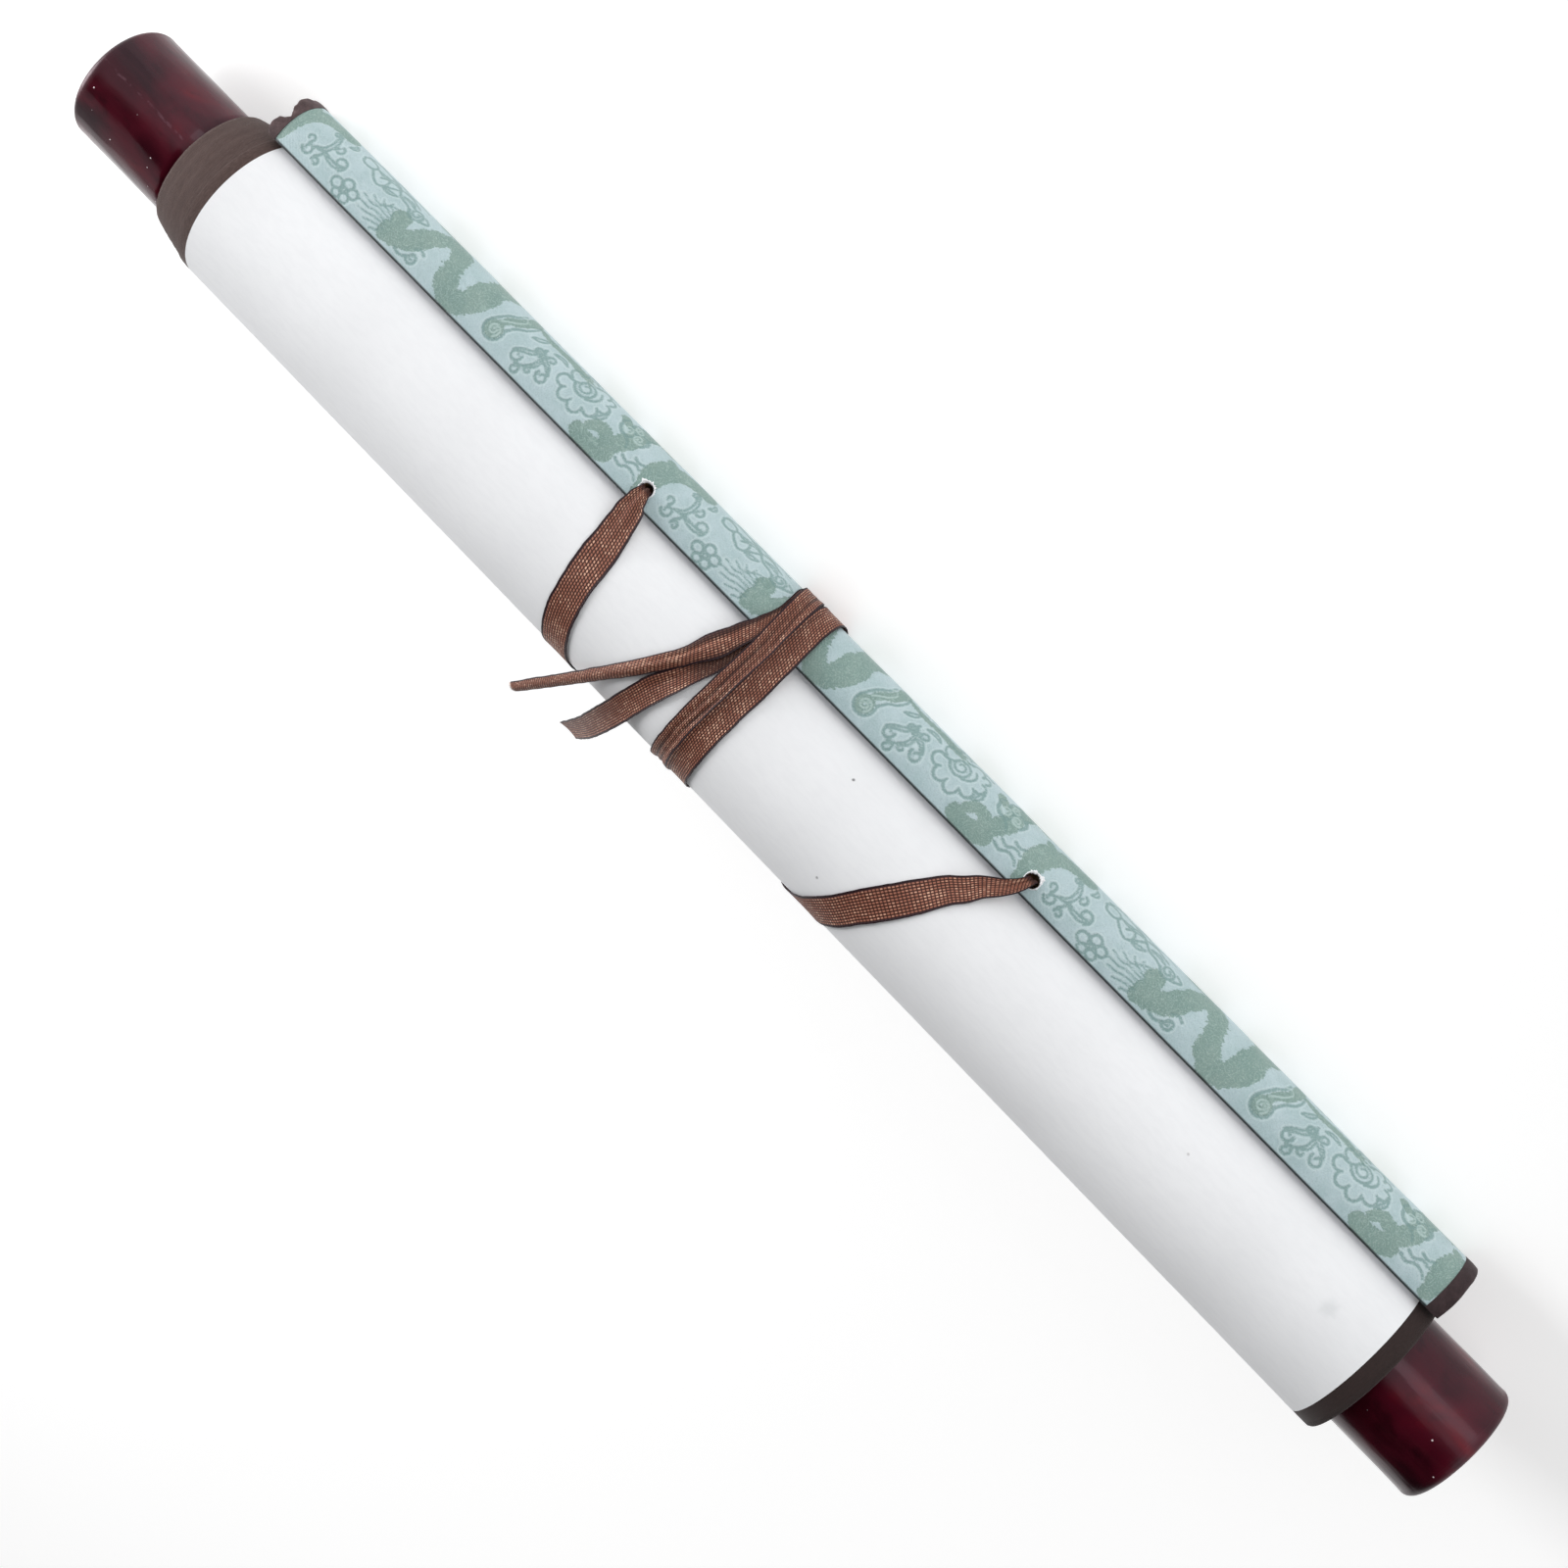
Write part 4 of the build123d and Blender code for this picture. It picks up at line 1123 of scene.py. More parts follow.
    # tendrils beside it
    for x, y, r, a, t in ((46, 76, 21, 200, 1.4), (172, 118, 24, -60, 1.4), (128, 152, 17, 90, -1.2),
                          (72, 196, 15, 20, 1.1), (100, 56, 15, 180, -1.2), (24, 110, 16, 300, 1.1)):
        line(curl(x, y, r * 1.2, a, t * 0.75, 0.34), smooth_it=False)
    leaf([(60, 96), (92, 110), (104, 146), (94, 184), (72, 208)], 10)
    leaf([(96, 108), (134, 96), (168, 96), (190, 112)], 9)
    leaf([(134, 196), (150, 214), (140, 240)], 9)
    line([(84, 70), (98, 88), (100, 110)])
    # five-petalled blossom
    for x, y, r in ((215, 62, 23), (254, 86, 21), (290, 70, 21), (272, 38, 20), (236, 34, 18)):
        line(ring(x, y, r, 0, 330, 0.85), smooth_it=False)
    line(ring(254, 60, 9), smooth_it=False)
    # lotus
    line([(190, 226), (204, 200), (240, 198), (256, 220), (240, 240), (204, 240), (190, 226)])
    leaf([(262, 226), (300, 222), (340, 238), (372, 234)], 9)
    leaf([(404, 218), (436, 222), (470, 210)], 8)
    leaf([(330, 176), (362, 176), (392, 190)], 9)
    line([(250, 206), (276, 180), (310, 164), (332, 182), (326, 216), (300, 236)])
    line([(332, 182), (352, 200), (372, 230), (350, 252), (312, 256)])
    line([(372, 230), (400, 204), (440, 196), (468, 180)])
    line([(380, 246), (420, 252), (452, 240), (476, 232)])
    line([(296, 200), (308, 218), (300, 236)])
    line(curl(492, 196, 34, 190, 1.7), smooth_it=False)
    line([(520, 176), (550, 198), (524, 216)])
    line([(196, 246), (240, 268), (300, 262), (350, 272), (402, 262), (452, 274), (500, 262)])
    line([(250, 282), (300, 296), (352, 286), (400, 300)])
    # a far bank of cloud with claws
    fill([(1108, 250), (1178, 236), (1254, 244), (1340, 236)], 13, 22, 4.0)
    for end in ((1392, 206), (1402, 232), (1388, 258)):
        fill([(1340, 236), end], 10, 3)
    return s


def weave(p, v):
    """Distance fields of the figure in mm at p along the cloth, v across it."""
    fields = {k: np.full(len(p), 3.0) for k in ("fill", "line", "pale")}
    for drop, shift in ((0.0, 0.0), (16.4, 58.35)):
        for kind, pts, w0, w1, spikes in motif():
            pts = pts / PX
            pts = np.stack((pts[:, 0] + shift, pts[:, 1] - 0.5 + drop), 1)
            w0_mm, w1_mm = w0 / PX, w1 / PX
            margin = max(w0_mm, w1_mm) + spikes / PX + 1.4
            low, high = pts.min(0) - margin, pts.max(0) + margin
            mid = (low[0] + high[0]) / 2
            x = (p - mid + REPEAT / 2) % REPEAT - REPEAT / 2 + mid
            near = np.flatnonzero((x > low[0]) & (x < high[0]) & (v > low[1]) & (v < high[1]))
            if not len(near):
                continue
            q = np.stack((x[near], v[near]), 1)
            best = np.full(len(near), 99.0)
            steps = np.linalg.norm(np.diff(pts, axis=0), axis=1)
            reach_ = np.concatenate(([0.0], np.cumsum(steps)))
            total = max(reach_[-1], 1e-6)
            for i in range(len(pts) - 1):
                a, b = pts[i], pts[i + 1]
                d = b - a
                t = np.clip(((q - a) @ d) / max(d @ d, 1e-9), 0, 1)
                gap = q - (a + t[:, None] * d)
                dist = np.hypot(gap[:, 0], gap[:, 1])
                s = reach_[i] + t * steps[i]
                w = w0_mm + (w1_mm - w0_mm) * s / total
                if spikes:
                    inner = d[0] * gap[:, 1] - d[1] * gap[:, 0]
                    saw = (s / 1.7 + 0.15 * np.sin(s * 1.9)) % 1.0
                    w = w + np.where(inner < 0, 1.0, 0.8) * spikes / PX * (saw**2.2 - 0.35)
                best = np.minimum(best, dist - w)
            fields[kind][near] = np.minimum(fields[kind][near], best)
    return fields


def brocade():
    step = 0.40
    nx = int(round(2 * BROCADE_HALF / step)) + 1
    xs = np.linspace(-BROCADE_HALF, BROCADE_HALF, nx)
    arc = STAVE_R * math.pi
    total = arc + 2 * STAVE_SIDE
    nv = int(round(total / step)) + 1
    vs = np.linspace(0.0, total, nv)
    X, V = np.meshgrid(xs, vs, indexing="ij")
    X, V = X.ravel(), V.ravel()
    # snap the cells beside each hole to its rim
    keep_out = np.zeros(len(X), bool)
    v_hole = STAVE_SIDE + math.radians(90.0 - HOLE_ANGLE) * STAVE_R
    for hx in HOLE_X:
        dx, dv = X - hx, V - v_hole
        d = np.hypot(dx, dv)
        keep_out |= d < HOLE_R - 0.22
        snap = (d >= HOLE_R - 0.22) & (d < HOLE_R + 0.20)
        k = np.where(snap, HOLE_R / np.maximum(d, 1e-6), 1.0)
        X = np.where(snap, hx + dx * k, X)
        V = np.where(snap, v_hole + dv * k, V)
    fields = weave(X - 62.0, V)
    # a little relief: the figure's cloth is sunk, and the cloth swells slightly
    swell = 0.05 * np.sin(X / 13.0 + 1.3 * np.sin(V / 5.0)) + 0.04 * np.sin(X / 5.1 + V / 3.0)
    fill_in = np.clip(-fields["fill"] / 0.3, 0, 1) * 0.05
    line_in = np.clip(0.2 - fields["line"], 0, 0.3) / 0.3 * 0.06
    off = swell * 0.6 - fill_in - line_in
    # edges are pressed down at both ends
    off -= 0.10 * np.clip(1 - (BROCADE_HALF - np.abs(X)) / 1.2, 0, 1) ** 2
    a = np.clip(V - STAVE_SIDE, 0, arc) / STAVE_R  # 0 at the roll-side edge
    ang = np.radians(STAVE_ANGLE + 90.0) - a
    ny, nz = -np.sin(ang), -np.cos(ang)
    down = np.where(V < STAVE_SIDE, STAVE_SIDE - V, np.where(V > STAVE_SIDE + arc, V - STAVE_SIDE - arc, 0.0))
    down = down * 0.97
    Y = STAVE_C[0] + (STAVE_R + off) * ny - down * OUT[0]
    Z = STAVE_C[1] + (STAVE_R + off) * nz - down * OUT[1]
    Z = np.maximum(Z, 0.72)
    pts = np.stack((SHEET_X - X, Y, Z), 1)
    inside = keep_out.reshape(nx, nv)
    i, j = np.meshgrid(np.arange(nx - 1), np.arange(nv - 1), indexing="ij")
    bad = inside[:-1, :-1] | inside[1:, :-1] | inside[:-1, 1:] | inside[1:, 1:]
    i, j = i[~bad], j[~bad]
    base = i * nv + j
    faces = np.stack((base, base + nv, base + nv + 1, base + 1), 1)
    # turned-in edges, so that the cloth shows its thickness
    extra_pts, extra_faces = [], []
    cloth = np.stack((X, V, np.zeros_like(X)), 1)
    extra_cloth = []

    def hem(indices, inward, along_normal):
        """Rows that turn under from an edge given by indices."""
        start = len(pts) + sum(len(e) for e in extra_pts)
        edge_pts = pts[indices]
        extra_pts.append(edge_pts + inward[None, :] * 0.45 + along_normal)
        extra_cloth.append(cloth[indices] + np.array((0, 0.5, 0)))
        for k in range(len(indices) - 1):
            a0, b0 = int(indices[k]), int(indices[k + 1])
            extra_faces.append((a0, b0, start + k + 1, start + k))

    n3 = np.stack((np.zeros_like(ny), ny, nz), 1)
    hem(np.arange(nx) * nv, np.array((0.0, -NEAR[0], -NEAR[1])), 0.0)
    hem(np.arange(nx) * nv + nv - 1, np.array((0.0, NEAR[0], NEAR[1])), 0.0)
    for row, sign in ((0, -1), (nx - 1, 1)):
        idx = row * nv + np.arange(nv)
        start = len(pts) + sum(len(e) for e in extra_pts)
        extra_pts.append(pts[idx] - n3[idx] * 0.34)
        extra_cloth.append(cloth[idx])
        for k in range(nv - 1):
            extra_faces.append((int(idx[k]), int(idx[k + 1]), start + k + 1, start + k))
    all_pts = np.vstack([pts] + extra_pts)
    all_cloth = np.vstack([cloth] + extra_cloth)
    pad = len(all_pts) - len(pts)
    faces = faces.tolist() + extra_faces
    # drop the points no face uses
    used = np.zeros(len(all_pts), bool)
    for f in faces:
        used[list(f)] = True
    renumber = np.cumsum(used) - 1
    faces = [tuple(int(renumber[k]) for k in f) for f in faces]
    grow = lambda v, fillv: np.concatenate((v, np.full(pad, fillv)))[used]
    build(
        "brocade_cloth",
        all_pts[used],
        faces,
        BROCADE,
        replaces=("brocade_cover",),
        attributes=(
            ("cloth", "FLOAT_VECTOR", all_cloth[used]),
            ("fill", "FLOAT", grow(fields["fill"], 3.0)),
            ("line", "FLOAT", grow(fields["line"], 3.0)),
            ("pale", "FLOAT", grow(fields["pale"], 3.0)),
        ),
    )


brocade()


def stave_point(x, v, off):
    """Point x from the sheet's middle, v mm over the stave from its roll-side edge."""
    a = min(max(v - STAVE_SIDE, 0.0), STAVE_R * math.pi) / STAVE_R
    n = direction(STAVE_ANGLE + 90.0 - math.degrees(a))
    p = STAVE_C + (STAVE_R + off) * n
    if v < STAVE_SIDE:
        p = p - OUT * (STAVE_SIDE - v)
    elif v > STAVE_SIDE + STAVE_R * math.pi:
        p = p - OUT * (v - STAVE_SIDE - STAVE_R * math.pi)
    return (SHEET_X - x, p[0], p[1])


def torn_rims():
    """Torn white lining paper round each hole, and a dark lip inside it."""
    v_hole = STAVE_SIDE + math.radians(90.0 - HOLE_ANGLE) * STAVE_R
    pts, faces = [], []
    for which, hx in enumerate(HOLE_X):
        n = 72
        start = len(pts)
        for k in range(n):
            a = 2 * math.pi * k / n
            ragged = 0.5 + 0.5 * wobble(k * 0.55, 31 + which)
            tooth = 0.5 + 0.5 * wobble(k * 1.7, 41 + which)
            # the paper is widest away from the ribbon; v points away from the roll
            away = 0.5 + 0.5 * math.sin(a - (0.35 if which == 0 else -0.2))
            tatter = math.exp(-(((a - 2.5) / 0.22) ** 2)) if which == 0 else math.exp(-(((a - 0.9) / 0.3) ** 2))
            inner = HOLE_R - 0.12 - (0.65 * ragged * tooth * away if which else 0.18 * ragged)
            outer = HOLE_R + 0.02 + away * (0.05 + 0.62 * max(0.0, 1.7 * ragged * tooth - 0.22) + 0.08 * which) + 0.5 * tatter
            rise = 0.05 + 0.22 * ragged * away + 0.15 * tatter
            rows = (
                (inner, -0.55),
                (inner + 0.02, 0.02),
                ((inner + outer) / 2, 0.06 + rise),
                (outer, 0.07 + 0.4 * rise),
                (outer + 0.03, 0.0),
                (HOLE_R + 0.02, -0.10),
            )
            for r, off in rows:
                pts.append(stave_point(hx + r * math.cos(a), v_hole + r * math.sin(a), off))
        faces += grid_faces(n, 6, close_u=True, close_v=True, start=start, flip=True)
    build("hole_paper", pts, faces, PAPER)


torn_rims()


# ---- caps over the stave's ends ---------------------------------------------
def caps():
    total = STAVE_R * math.pi + 2 * STAVE_SIDE
    # how far the cloth stands out past the brocade, across the stave
    rough = [(0.0, 2.3), (1.2, 3.0), (3.0, 3.5), (4.6, 3.1), (5.6, 1.9), (6.6, 1.35), (7.6, 1.9),
             (9.4, 2.9), (11.5, 3.55), (14.0, 3.6), (16.5, 3.2), (20.0, 2.7), (24.0, 3.3),
             (28.0, 3.6), (total, 3.0)]
    plain = [(0.0, 3.5), (4.0, 3.65), (10.0, 3.6), (16.0, 3.68), (22.0, 3.6), (total, 3.6)]
    for name, side, table in (("stave_cap_right", -1, rough), ("stave_cap_left", 1, plain)):
        crumpled = side < 0
        hub_out = 2.3 if crumpled else 3.2
        n = 96
        rows = []
        cloth = []
        spots = np.linspace(0, total, n)
        lift = [(-0.25, -0.30), (-0.02, -0.02), (0.06, 0.0)]
        for v in spots:
            out = flat_along(table, v)
            out += (0.22 if crumpled else 0.05) * wobble(v, 51 + side, 1.7)
            fold = (0.35 if crumpled else 0.06) * wobble(v, 61 + side, 2.3)
            col, mm = [], []
            profile = [
                (-0.9, -0.36), (0.02, -0.34), (0.04, 0.0), (out * 0.35, 0.04 + fold * 0.25),
                (out * 0.65, 0.0 + fold * 0.5), (out - 0.62, -0.06 + fold * 0.5),
                (out - 0.30, -0.16 + fold * 0.3), (out - 0.08, -0.42), (out, -0.80),
            ]
            for x, off in profile:
                off = min(off, 0.18)
                px = stave_point(side * (BROCADE_HALF + x), v, off)
                col.append(px)
                mm.append((x, v, 0.0))
            # the end face: towards the middle of the stave's section
            edge = np.array(col[-1])
            hub = np.array((SHEET_X - side * (BROCADE_HALF + hub_out), *(STAVE_C + OUT * (STAVE_R * 0.35 - 0.4))))
            for t in (0.12, 0.3, 0.5, 0.72, 0.9):
                p = edge * (1 - t) + hub * t
                p[0] -= side * 0.16 * wobble(v * 0.8 + 9 * t, 71 + side) * math.sin(math.pi * t)
                col.append(tuple(p))
                mm.append((4.0 + 8 * t, v, 0.0))
            rows.append(col)
            cloth.append(mm)
        m = len(rows[0])
        pts = np.array(rows).reshape(-1, 3)
        pts[:, 2] = np.maximum(pts[:, 2], 0.72)
        mm = np.array(cloth).reshape(-1, 3)
        # close across the stave's flat: from the last column back to the first
        faces = grid_faces(n, m, flip=side > 0)
        flat_pts, flat_mm, flat_faces = [], [], []
        k_steps = 8
        first_col, last_col = pts[:m], pts[(n - 1) * m:]
        base = len(pts)
        for k in range(1, k_steps):
            t = k / k_steps
            flat_pts.append(last_col * (1 - t) + first_col * t)
            flat_mm.append(mm[(n - 1) * m:] + np.array((0, 18.0 * t, 0)))
        flat = np.vstack(flat_pts)
        cols = [list(range((n - 1) * m, n * m))]
        for k in range(k_steps - 1):
            cols.append(list(range(base + k * m, base + (k + 1) * m)))
        cols.append(list(range(0, m)))
        for c0, c1 in zip(cols, cols[1:]):
            for j in range(m - 1):
                q = (c0[j], c0[j + 1], c1[j + 1], c1[j])
                flat_faces.append(q[::-1] if side > 0 else q)
        hub_index = base + len(flat)
        hub = np.array((SHEET_X - side * (BROCADE_HALF + hub_out), *(STAVE_C + OUT * (STAVE_R * 0.35 - 0.4))))
        loop = [i * m + m - 1 for i in range(n)] + [c[-1] for c in cols[1:-1]]
        fan = []
        for k in range(len(loop)):
            tri = (loop[k], hub_index, loop[(k + 1) % len(loop)])
            fan.append(tri[::-1] if side > 0 else tri)
        all_pts = np.vstack((pts, flat, hub[None]))
        all_mm = np.vstack((mm, np.vstack(flat_mm), [[12.0, 10.0, 0.0]]))
        build(
            name + "_cloth",
            all_pts,
            faces + flat_faces + fan,
            CAP_CLOTH,
            replaces=(name,),
            attributes=(
                ("cloth", "FLOAT_VECTOR", all_mm),
                # painted shade on the -X cap only
                ("painted_end_shade", "FLOAT", [0.0 if crumpled else 1.0] * len(all_pts)),
            ),
        )


caps()


# ---- the rolled sheet ---------------------------------------------------------
def round_point(x, r, angle):
    """Point at radius r and angle round the roller; the roll's underside is flat."""
    p = AXIS + r * direction(angle)
    return (x, p[0], max(p[1], FLAT_Z))


def sheet():
    left, right = SHEET_X - SHEET_HALF, SHEET_X + SHEET_HALF
    nx, na = 118, 216
    xs = np.linspace(left, right, nx)
    pts = []
    for x in xs:
        for k in range(na):
            a = 360.0 * k / na
            d = 0.025 * math.sin(x / 31.0 + 2.0 * math.sin(math.radians(a)))
            d += 0.02 * math.sin(x / 12.0 + 3 * math.radians(a)) + 0.012 * wobble(x + 7 * a, 5, 9.0)
            # pressed in a little under the band
            d -= 0.06 * math.exp(-((x - (SHEET_X + 13.5)) / 9.0) ** 2)
            pts.append(round_point(x, ROLL_R + min(d - 0.03, 0.0), a))
    faces = grid_faces(nx, na, close_v=True)
    # inner side of the outermost turns, so that the wall is closed
    start = len(pts)
    for x in (left, right):
        for k in range(na):
            pts.append(round_point(x, ROLL_R - 0.5, 360.0 * k / na))
    for k in range(na):
        k1 = (k + 1) % na
        a, b = start + k, start + k1
        c, d = start + na + k, start + na + k1
        faces.append((b, a, c, d)[::-1])
        faces.append((k, start + k, start + k1, k1)[::-1])
        e, f = (nx - 1) * na + k, (nx - 1) * na + k1
        faces.append((e, f, d, c)[::-1])
    # the last strip: it leaves the roll and lies under the stave's flat
    start = len(pts)
    nu = 9
    us = np.linspace(-1.5, STAVE_R - 0.4, nu)
    xs2 = np.linspace(left + 0.7, right - 0.1, 60)
    for x in xs2:
        for u in us:
            p = FLAT_C + NEAR * u + OUT * (0.33 + 0.0 * u)
            pts.append((x, p[0], p[1]))
        for u in us[::-1]:
            sag = 0.02 * math.sin(x / 17.0 + u)
            p = FLAT_C + NEAR * u + OUT * (0.02 + sag * min(1.0, (u + 1.5) / 4))
            pts.append((x, p[0], p[1]))
    faces += grid_faces(60, 2 * nu, close_v=True, start=start)
    faces.append(tuple(start + k for k in range(2 * nu))[::-1])
    faces.append(tuple(start + 59 * 2 * nu + k for k in range(2 * nu)))
    build("rolled_sheet", pts, faces, PAPER, replaces=("paper_roll",))


sheet()


def edging(name, side, profile, wear, painted_end_shade):
    """Cloth edging turned with the sheet: stepped turns, then the ends of all turns."""
    na = 240
    lengths = [0.0]
    for (x0, r0), (x1, r1) in zip(profile, profile[1:]):
        lengths.append(lengths[-1] + math.hypot(x1 - x0, r1 - r0))
    pts, cloth, worn = [], [], []
    for k in range(na):
        a = 360.0 * k / na
        for j, (x, r) in enumerate(profile):
            inner = 2 < j < len(profile) - 2
            shake = 0.03 * wobble(a / 15.0 + j * 3.3, 80 + j % 7) if inner else 0.0
            shake += 0.05 * wobble(a / 40.0, 86) if inner else 0.0
            dx = 0.12 * wobble(a / 31.0 + j * 0.2, 90) if inner else 0.0
            pts.append(round_point(x + dx, r + shake, a))
            cloth.append((math.radians(a) * 19.0 + j * 7.3 * (j > 3), lengths[j], float(j // 4)))
            worn.append(wear[j] if j < len(wear) else 0.0)
    faces = grid_faces(na, len(profile), close_u=True, close_v=True, flip=side < 0)
    build(
        name,
        pts,
        faces,
        EDGE_CLOTH,
        replaces=(name.replace("_cloth", ""),),
        attributes=(
            ("cloth", "FLOAT_VECTOR", cloth),
            ("worn", "FLOAT", worn),
            # painted shade flag: 1 darkens the -X end
            ("painted_end_shade", "FLOAT", [painted_end_shade] * len(pts)),
        ),
    )


def edging_profiles():
    # the end that sticks out: the outer turn, then turns stepping out to the innermost
    right = SHEET_X + SHEET_HALF
    out = [(right + 0.02, ROLL_R - 0.5), (right + 0.02, ROLL_R - 0.06), (right + 1.4, ROLL_R - 0.10),
           (right + 2.6, ROLL_R - 0.20), (right + 2.95, ROLL_R - 0.27), (right + 3.05, ROLL_R - 0.52)]
    wear = [0, 0.1, 0.0, 0.1, 0.45, 0.0]
    x0, r0 = out[-1]
    x1, r1 = INNER_HALF - 0.9, CONE_R + 0.30
    for k in range(1, 13):
        s = k / 12
        sunk = 0.06 * ((k * 0.42) % 1.0 - 0.5)
        out.append((x0 + (x1 - x0) * s, r0 + (r1 - r0) * s + 0.16 * math.sin(math.pi * s) + sunk))
        wear.append(0.15 if k % 4 == 1 else 0.0)
    out += [(INNER_HALF - 0.4, CONE_R + 0.12), (INNER_HALF - 0.12, CONE_R - 0.04)]
    wear += [0.25, 0.2]
    ends, ends_wear = turns(INNER_HALF, CONE_R, 1)
    out += ends
    out.append((INNER_HALF - 6.0, CORE_R + 0.05))
    out.append((right + 0.02, CORE_R + 2.0))
    edging("edging_right_cloth", 1, out, wear + ends_wear, 0.0)
    # the end that is drawn in
    left = SHEET_X - SHEET_HALF
    out = [(left - 0.02, ROLL_R - 0.5), (left - 0.02, ROLL_R - 0.06), (left - 1.5, ROLL_R - 0.05),
           (left - 3.2, ROLL_R - 0.07), (left - EDGING + 0.5, ROLL_R - 0.12), (left - EDGING + 0.1, ROLL_R - 0.32),
           (left - EDGING, ROLL_R - 0.6)]
    wear = [0, 0.0, 0.0, 0.0, 0.2, 0.5, 0.3]
    x, r = left - EDGING, ROLL_R - 0.6
    steps = 6
    for k in range(steps):
        drop = (r - RECESS_R) / (steps - k)
        run = (-INNER_HALF - x) / (steps - k)
        out.append((x + run * 0.15, r - drop * 0.8))
        wear.append(0.1)
        out.append((x + run * 0.9, r - drop * 0.9))
        wear.append(0.0)
        x, r = x + run, r - drop
        out.append((x, r))
        wear.append(0.2)
    ends, ends_wear = turns(-INNER_HALF, RECESS_R, -1)
    out += ends
    out.append((-INNER_HALF + 6.0, CORE_R + 0.05))
    out.append((left - 0.02, CORE_R + 2.0) if left > -INNER_HALF + 6.0 else (-INNER_HALF + 7.0, ROLL_R - 4.0))
    # the -X edging gets painted shade
    edging("edging_left_cloth", -1, out, wear + ends_wear, 1.0)


def turns(x, outer, side):
    """The cut ends of the inner turns, as rings with grooves between them."""
    out, wear = [], []
    pitch = 0.56
    r = outer - 0.1
    k = 0
    while r - pitch > CORE_R + 0.1:
        dx = -side * 0.32 * hashed(k, 3)
        out += [
            (x + dx - side * 0.02, r),
            (x + dx, r - pitch * 0.72),
            (x + dx - side * 0.34, r - pitch * 0.86),
        ]
        wear += [0.25, 0.25, 0.0]
        r -= pitch
        k += 1
    out.append((x - side * 0.3, CORE_R + 0.05))
    wear.append(0.0)
    return out, wear


edging_profiles()


# ---- knobs -----------------------------------------------------------------
def knob(name, side):
    """Turned and lacquered knob, a little uneven, with rounded edges."""
    profile = [(KNOB_IN - 0.0, 5.02), (KNOB_IN, 9.0), (KNOB_IN, 14.1), (KNOB_IN + 0.12, 14.55), (KNOB_IN + 0.5, 14.9)]
    for t in np.linspace(0, 1, 26)[1:]:
        profile.append((KNOB_IN + 1.0 + t * (KNOB_OUT - 1.9 - KNOB_IN - 1.0), 15.0))
    for t in np.linspace(0, 90, 10)[1:]:
        a = math.radians(t)
        profile.append((KNOB_OUT - 1.9 + 1.85 * math.sin(a), 15.0 - 1.9 * (1 - math.cos(a))))
    for r in (12.0, 10.0, 8.0, 6.0, 4.0, 2.6):
        profile.append((KNOB_OUT - 0.05 - 0.02 * (13 - r) * 0.3, r))
    profile += [(KNOB_OUT - 0.16, 1.6), (KNOB_OUT - 0.30, 0.8)]
    na = 180
    pts = []
    for x, r in profile:
        for k in range(na):
            a = 2 * math.pi * k / na
            d = 0.0
            if r > 10:
                w = min(1.0, (x - KNOB_IN) / 1.0) * min(1.0, (KNOB_OUT - x) / 5.0)
                d = w * (
                    0.028 * math.sin(3 * a + x / 7.0 + side)
                    + 0.020 * math.sin(7 * a - x / 4.0)
                    + 0.014 * math.sin(13 * a + x / 2.6 + 2 * side)
                    - 0.05
                )
                # two small dents by the rim
                for da, dx, size, deep in ((1.1, 4.2, 0.16, 0.16), (2.9, 21.0, 0.2, 0.1)):
                    g = ((a - da + math.pi) % (2 * math.pi) - math.pi) / size
                    h = (x - KNOB_IN - dx) / 2.6
                    d -= w * deep * math.exp(-g * g - h * h)
            p = AXIS + (r + d) * np.array((math.sin(a), math.cos(a)))
            pts.append((side * x, p[0], p[1]))
    n = len(profile)
    faces = grid_faces(n, na, close_v=True, flip=side > 0)
    tip = len(pts)
    pts.append((side * (KNOB_OUT - 0.34), AXIS[0], AXIS[1]))
    for k in range(na):
        f = ((n - 1) * na + k, (n - 1) * na + (k + 1) % na, tip)
        faces.append(f[::-1] if side > 0 else f)
    # the socket's wall
    start = len(pts)
    for x in (KNOB_IN, KNOB_IN + 20.5):
        for k in range(na):
            a = 2 * math.pi * k / na
            p = AXIS + 5.02 * np.array((math.sin(a), math.cos(a)))
            pts.append((side * x, p[0], p[1]))
    for k in range(na):
        k1 = (k + 1) % na
        f = (k, k1, start + na + k1, start + na + k)
        faces.append(f if side > 0 else f[::-1])
    hub = len(pts)
    pts.append((side * (KNOB_IN + 20.5), AXIS[0], AXIS[1]))
    for k in range(na):
        f = (start + na + k, start + na + (k + 1) % na, hub)
        faces.append(f if side > 0 else f[::-1])
    # the first row of the socket's wall is the profile's own first ring
    used = sorted({i for f in faces for i in f})
    renumber = {old: new for new, old in enumerate(used)}
    faces = [tuple(renumber[i] for i in f) for f in faces]
    pts = [pts[i] for i in used]
    build(name + "_turned", pts, faces, LACQUER, replaces=(name,))


knob("knob_left", -1)
knob("knob_right", 1)

for slot in frame["nodes"]["roller_core"].material_slots:
    slot.material = WOOD


def stave_wood():
    """The stave, worn a little shorter under its caps than their outer faces."""
    source = frame["nodes"]["top_stave"]
    me = source.data.copy()
    for v in me.vertices:
        co = source.matrix_world @ v.co
        limit = (BROCADE_HALF + 0.7) * MM
        co.x = SHEET_X * MM + max(-limit, min(limit, co.x - SHEET_X * MM))
        v.co = co
    me.materials.clear()
    me.materials.append(WOOD)
    obj = bpy.data.objects.new("stave_wood", me)
    bpy.context.scene.collection.objects.link(obj)
    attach(obj, "root")
    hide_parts("top_stave")


stave_wood()


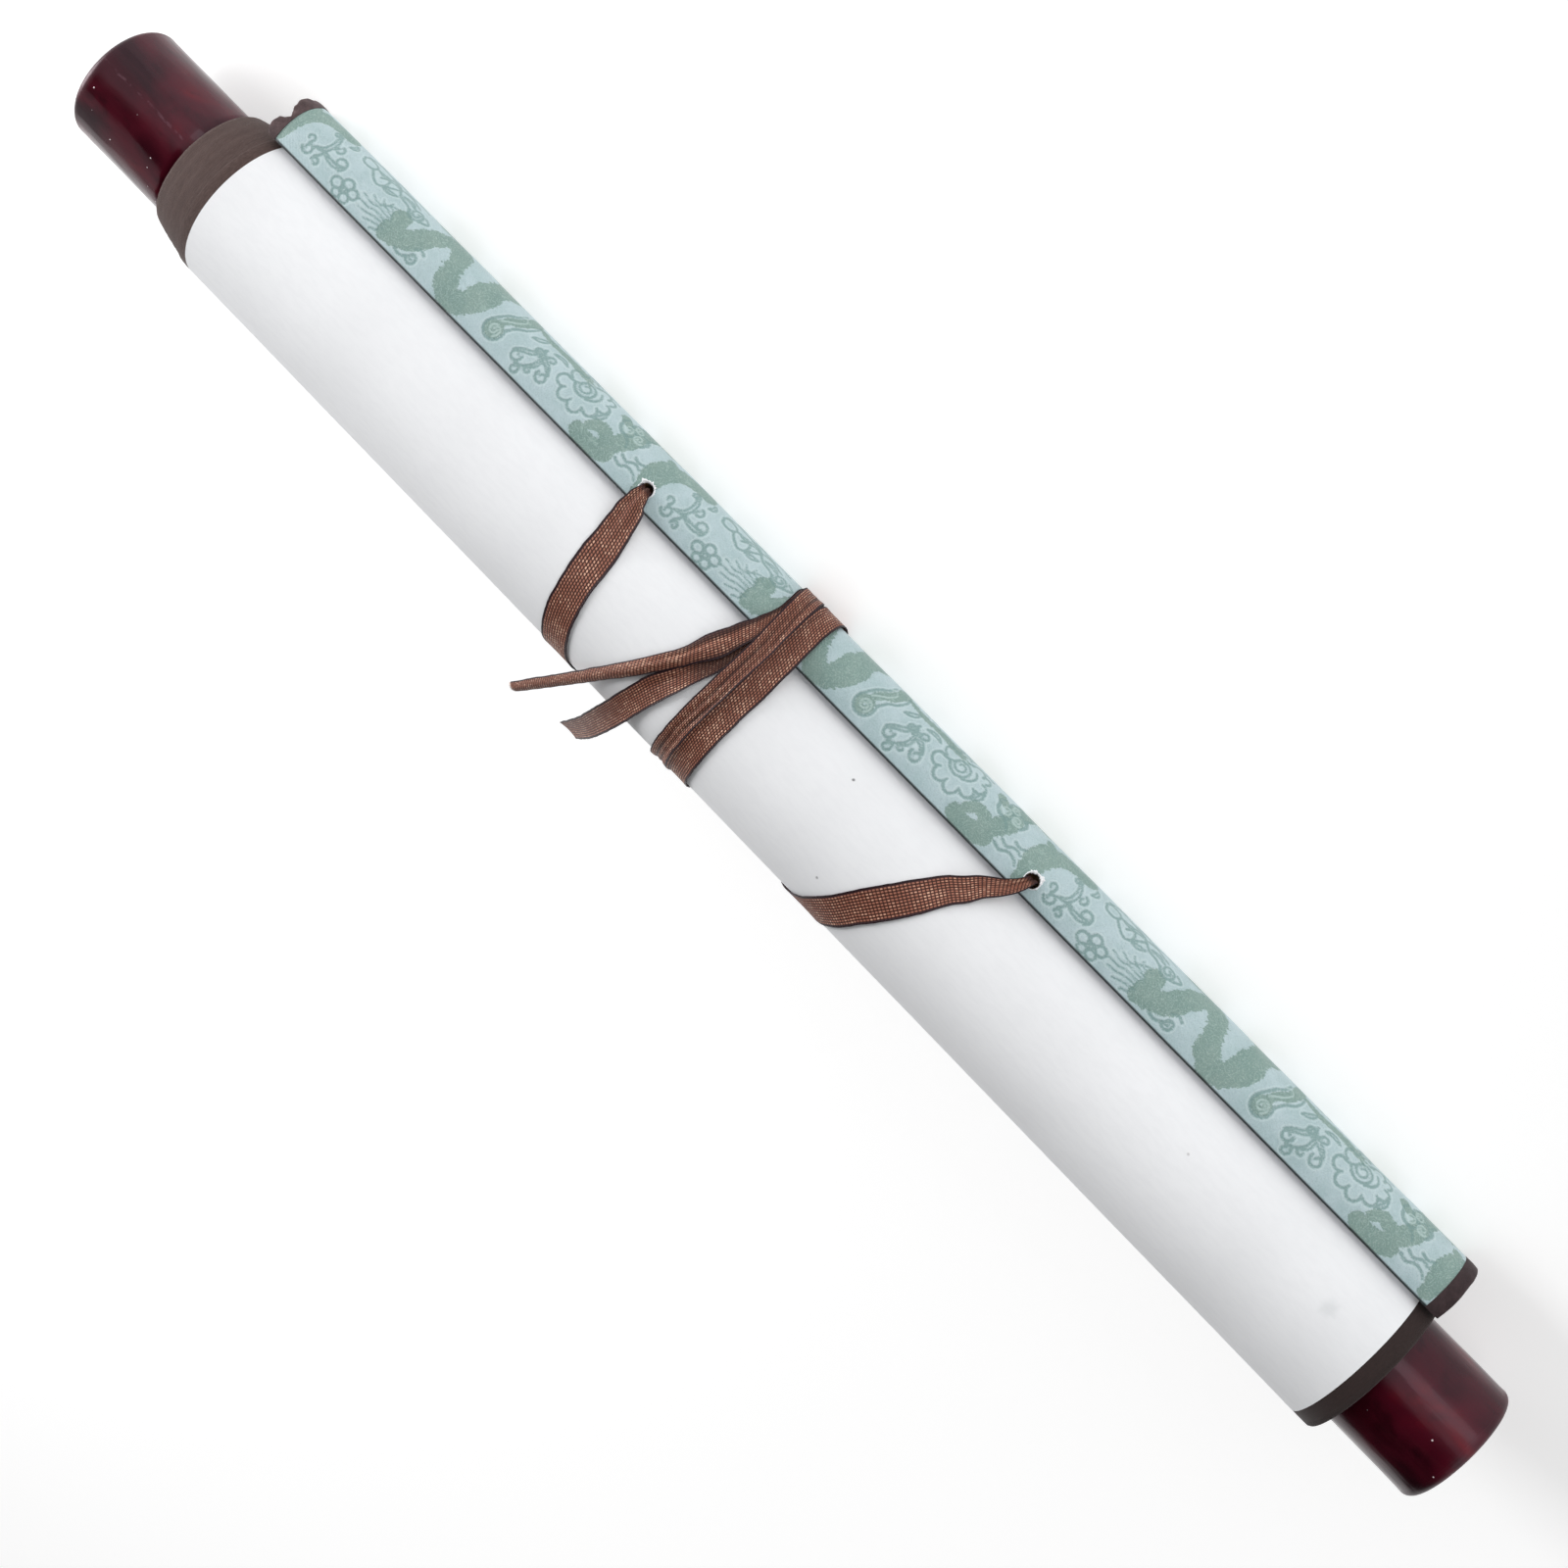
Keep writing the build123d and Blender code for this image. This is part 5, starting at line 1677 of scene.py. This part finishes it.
# ---- floor and light -------------------------------------------------------
me = bpy.data.meshes.new("floor")
me.from_pydata([(-6, -6, 0), (6, -6, 0), (6, 6, 0), (-6, 6, 0)], [], [(0, 1, 2, 3)])
floor = bpy.data.objects.new("floor", me)
bpy.context.scene.collection.objects.link(floor)
mat = bpy.data.materials.new("floor")
mat.use_nodes = True
ft = mat.node_tree
ft.nodes.remove(ft.nodes["Principled BSDF"])
matte = ft.nodes.new("ShaderNodeBsdfDiffuse")
matte.inputs["Color"].default_value = (0.62, 0.62, 0.62, 1)
glow = ft.nodes.new("ShaderNodeEmission")
glow.inputs["Strength"].default_value = 0.56
both = ft.nodes.new("ShaderNodeAddShader")
ft.links.new(matte.outputs[0], both.inputs[0])
ft.links.new(glow.outputs[0], both.inputs[1])
ft.links.new(both.outputs[0], ft.nodes["Material Output"].inputs["Surface"])
mat.cycles.emission_sampling = "NONE"
me.materials.append(mat)


def area(name, place, size, power, target=(0, 0, 0.02), colour=(1, 1, 1)):
    li = bpy.data.lights.new(name, "AREA")
    li.shape = "RECTANGLE"
    li.size, li.size_y = size
    li.energy = power
    li.color = colour
    o = bpy.data.objects.new(name, li)
    o.location = place
    d = Vector(target) - Vector(place)
    o.rotation_euler = d.to_track_quat("-Z", "Y").to_euler()
    bpy.context.scene.collection.objects.link(o)
    return o


area("end", (1.3, 0.1, 0.55), (0.7, 0.7), 20.3)
area("low_front", (0.0, -1.5, 0.5), (1.8, 0.6), 4.2)
area("far_front", (-1.2, -0.75, 0.85), (0.9, 0.9), 2.1)
area("back", (0.62, 0.42, 0.55), (0.5, 0.5), 0.45)

world = bpy.data.worlds.new("soft")
world.use_nodes = True
wt = world.node_tree
bg = wt.nodes["Background"]
tc = wt.nodes.new("ShaderNodeTexCoord")
sep = wt.nodes.new("ShaderNodeSeparateXYZ")
wt.links.new(tc.outputs["Generated"], sep.inputs[0])


def sky_step(socket, lo, hi, first, last):
    m = wt.nodes.new("ShaderNodeMapRange")
    m.interpolation_type = "SMOOTHSTEP"
    for key, value in (("From Min", lo), ("From Max", hi), ("To Min", first), ("To Max", last)):
        m.inputs[key].default_value = value
    wt.links.new(socket, m.inputs["Value"])
    return m.outputs["Result"]


def sky_math(op, a, b):
    m = wt.nodes.new("ShaderNodeMath")
    m.operation = op
    wt.links.new(a, m.inputs[0])
    wt.links.new(b, m.inputs[1])
    return m.outputs[0]


# white walls all round, a softer panel above the front one, and a dark ceiling
low_wall = sky_step(sep.outputs["Z"], 0.22, 0.42, 1.02, 0.0)
rising = sky_step(sep.outputs["Z"], 0.22, 0.42, 0.0, 0.88)
below_top = sky_step(sep.outputs["Z"], 0.66, 0.86, 1.0, 0.0)
in_front = sky_step(sep.outputs["Y"], -0.15, 0.15, 1.0, 0.02)
panel = sky_math("MULTIPLY", sky_math("MULTIPLY", rising, below_top), in_front)
wt.links.new(sky_math("ADD", low_wall, panel), bg.inputs["Strength"])
bg.inputs["Color"].default_value = (1.0, 1.0, 1.0, 1.0)
bpy.context.scene.world = world
bpy.context.scene.view_settings.view_transform = "Standard"
bpy.context.scene.view_settings.look = "None"
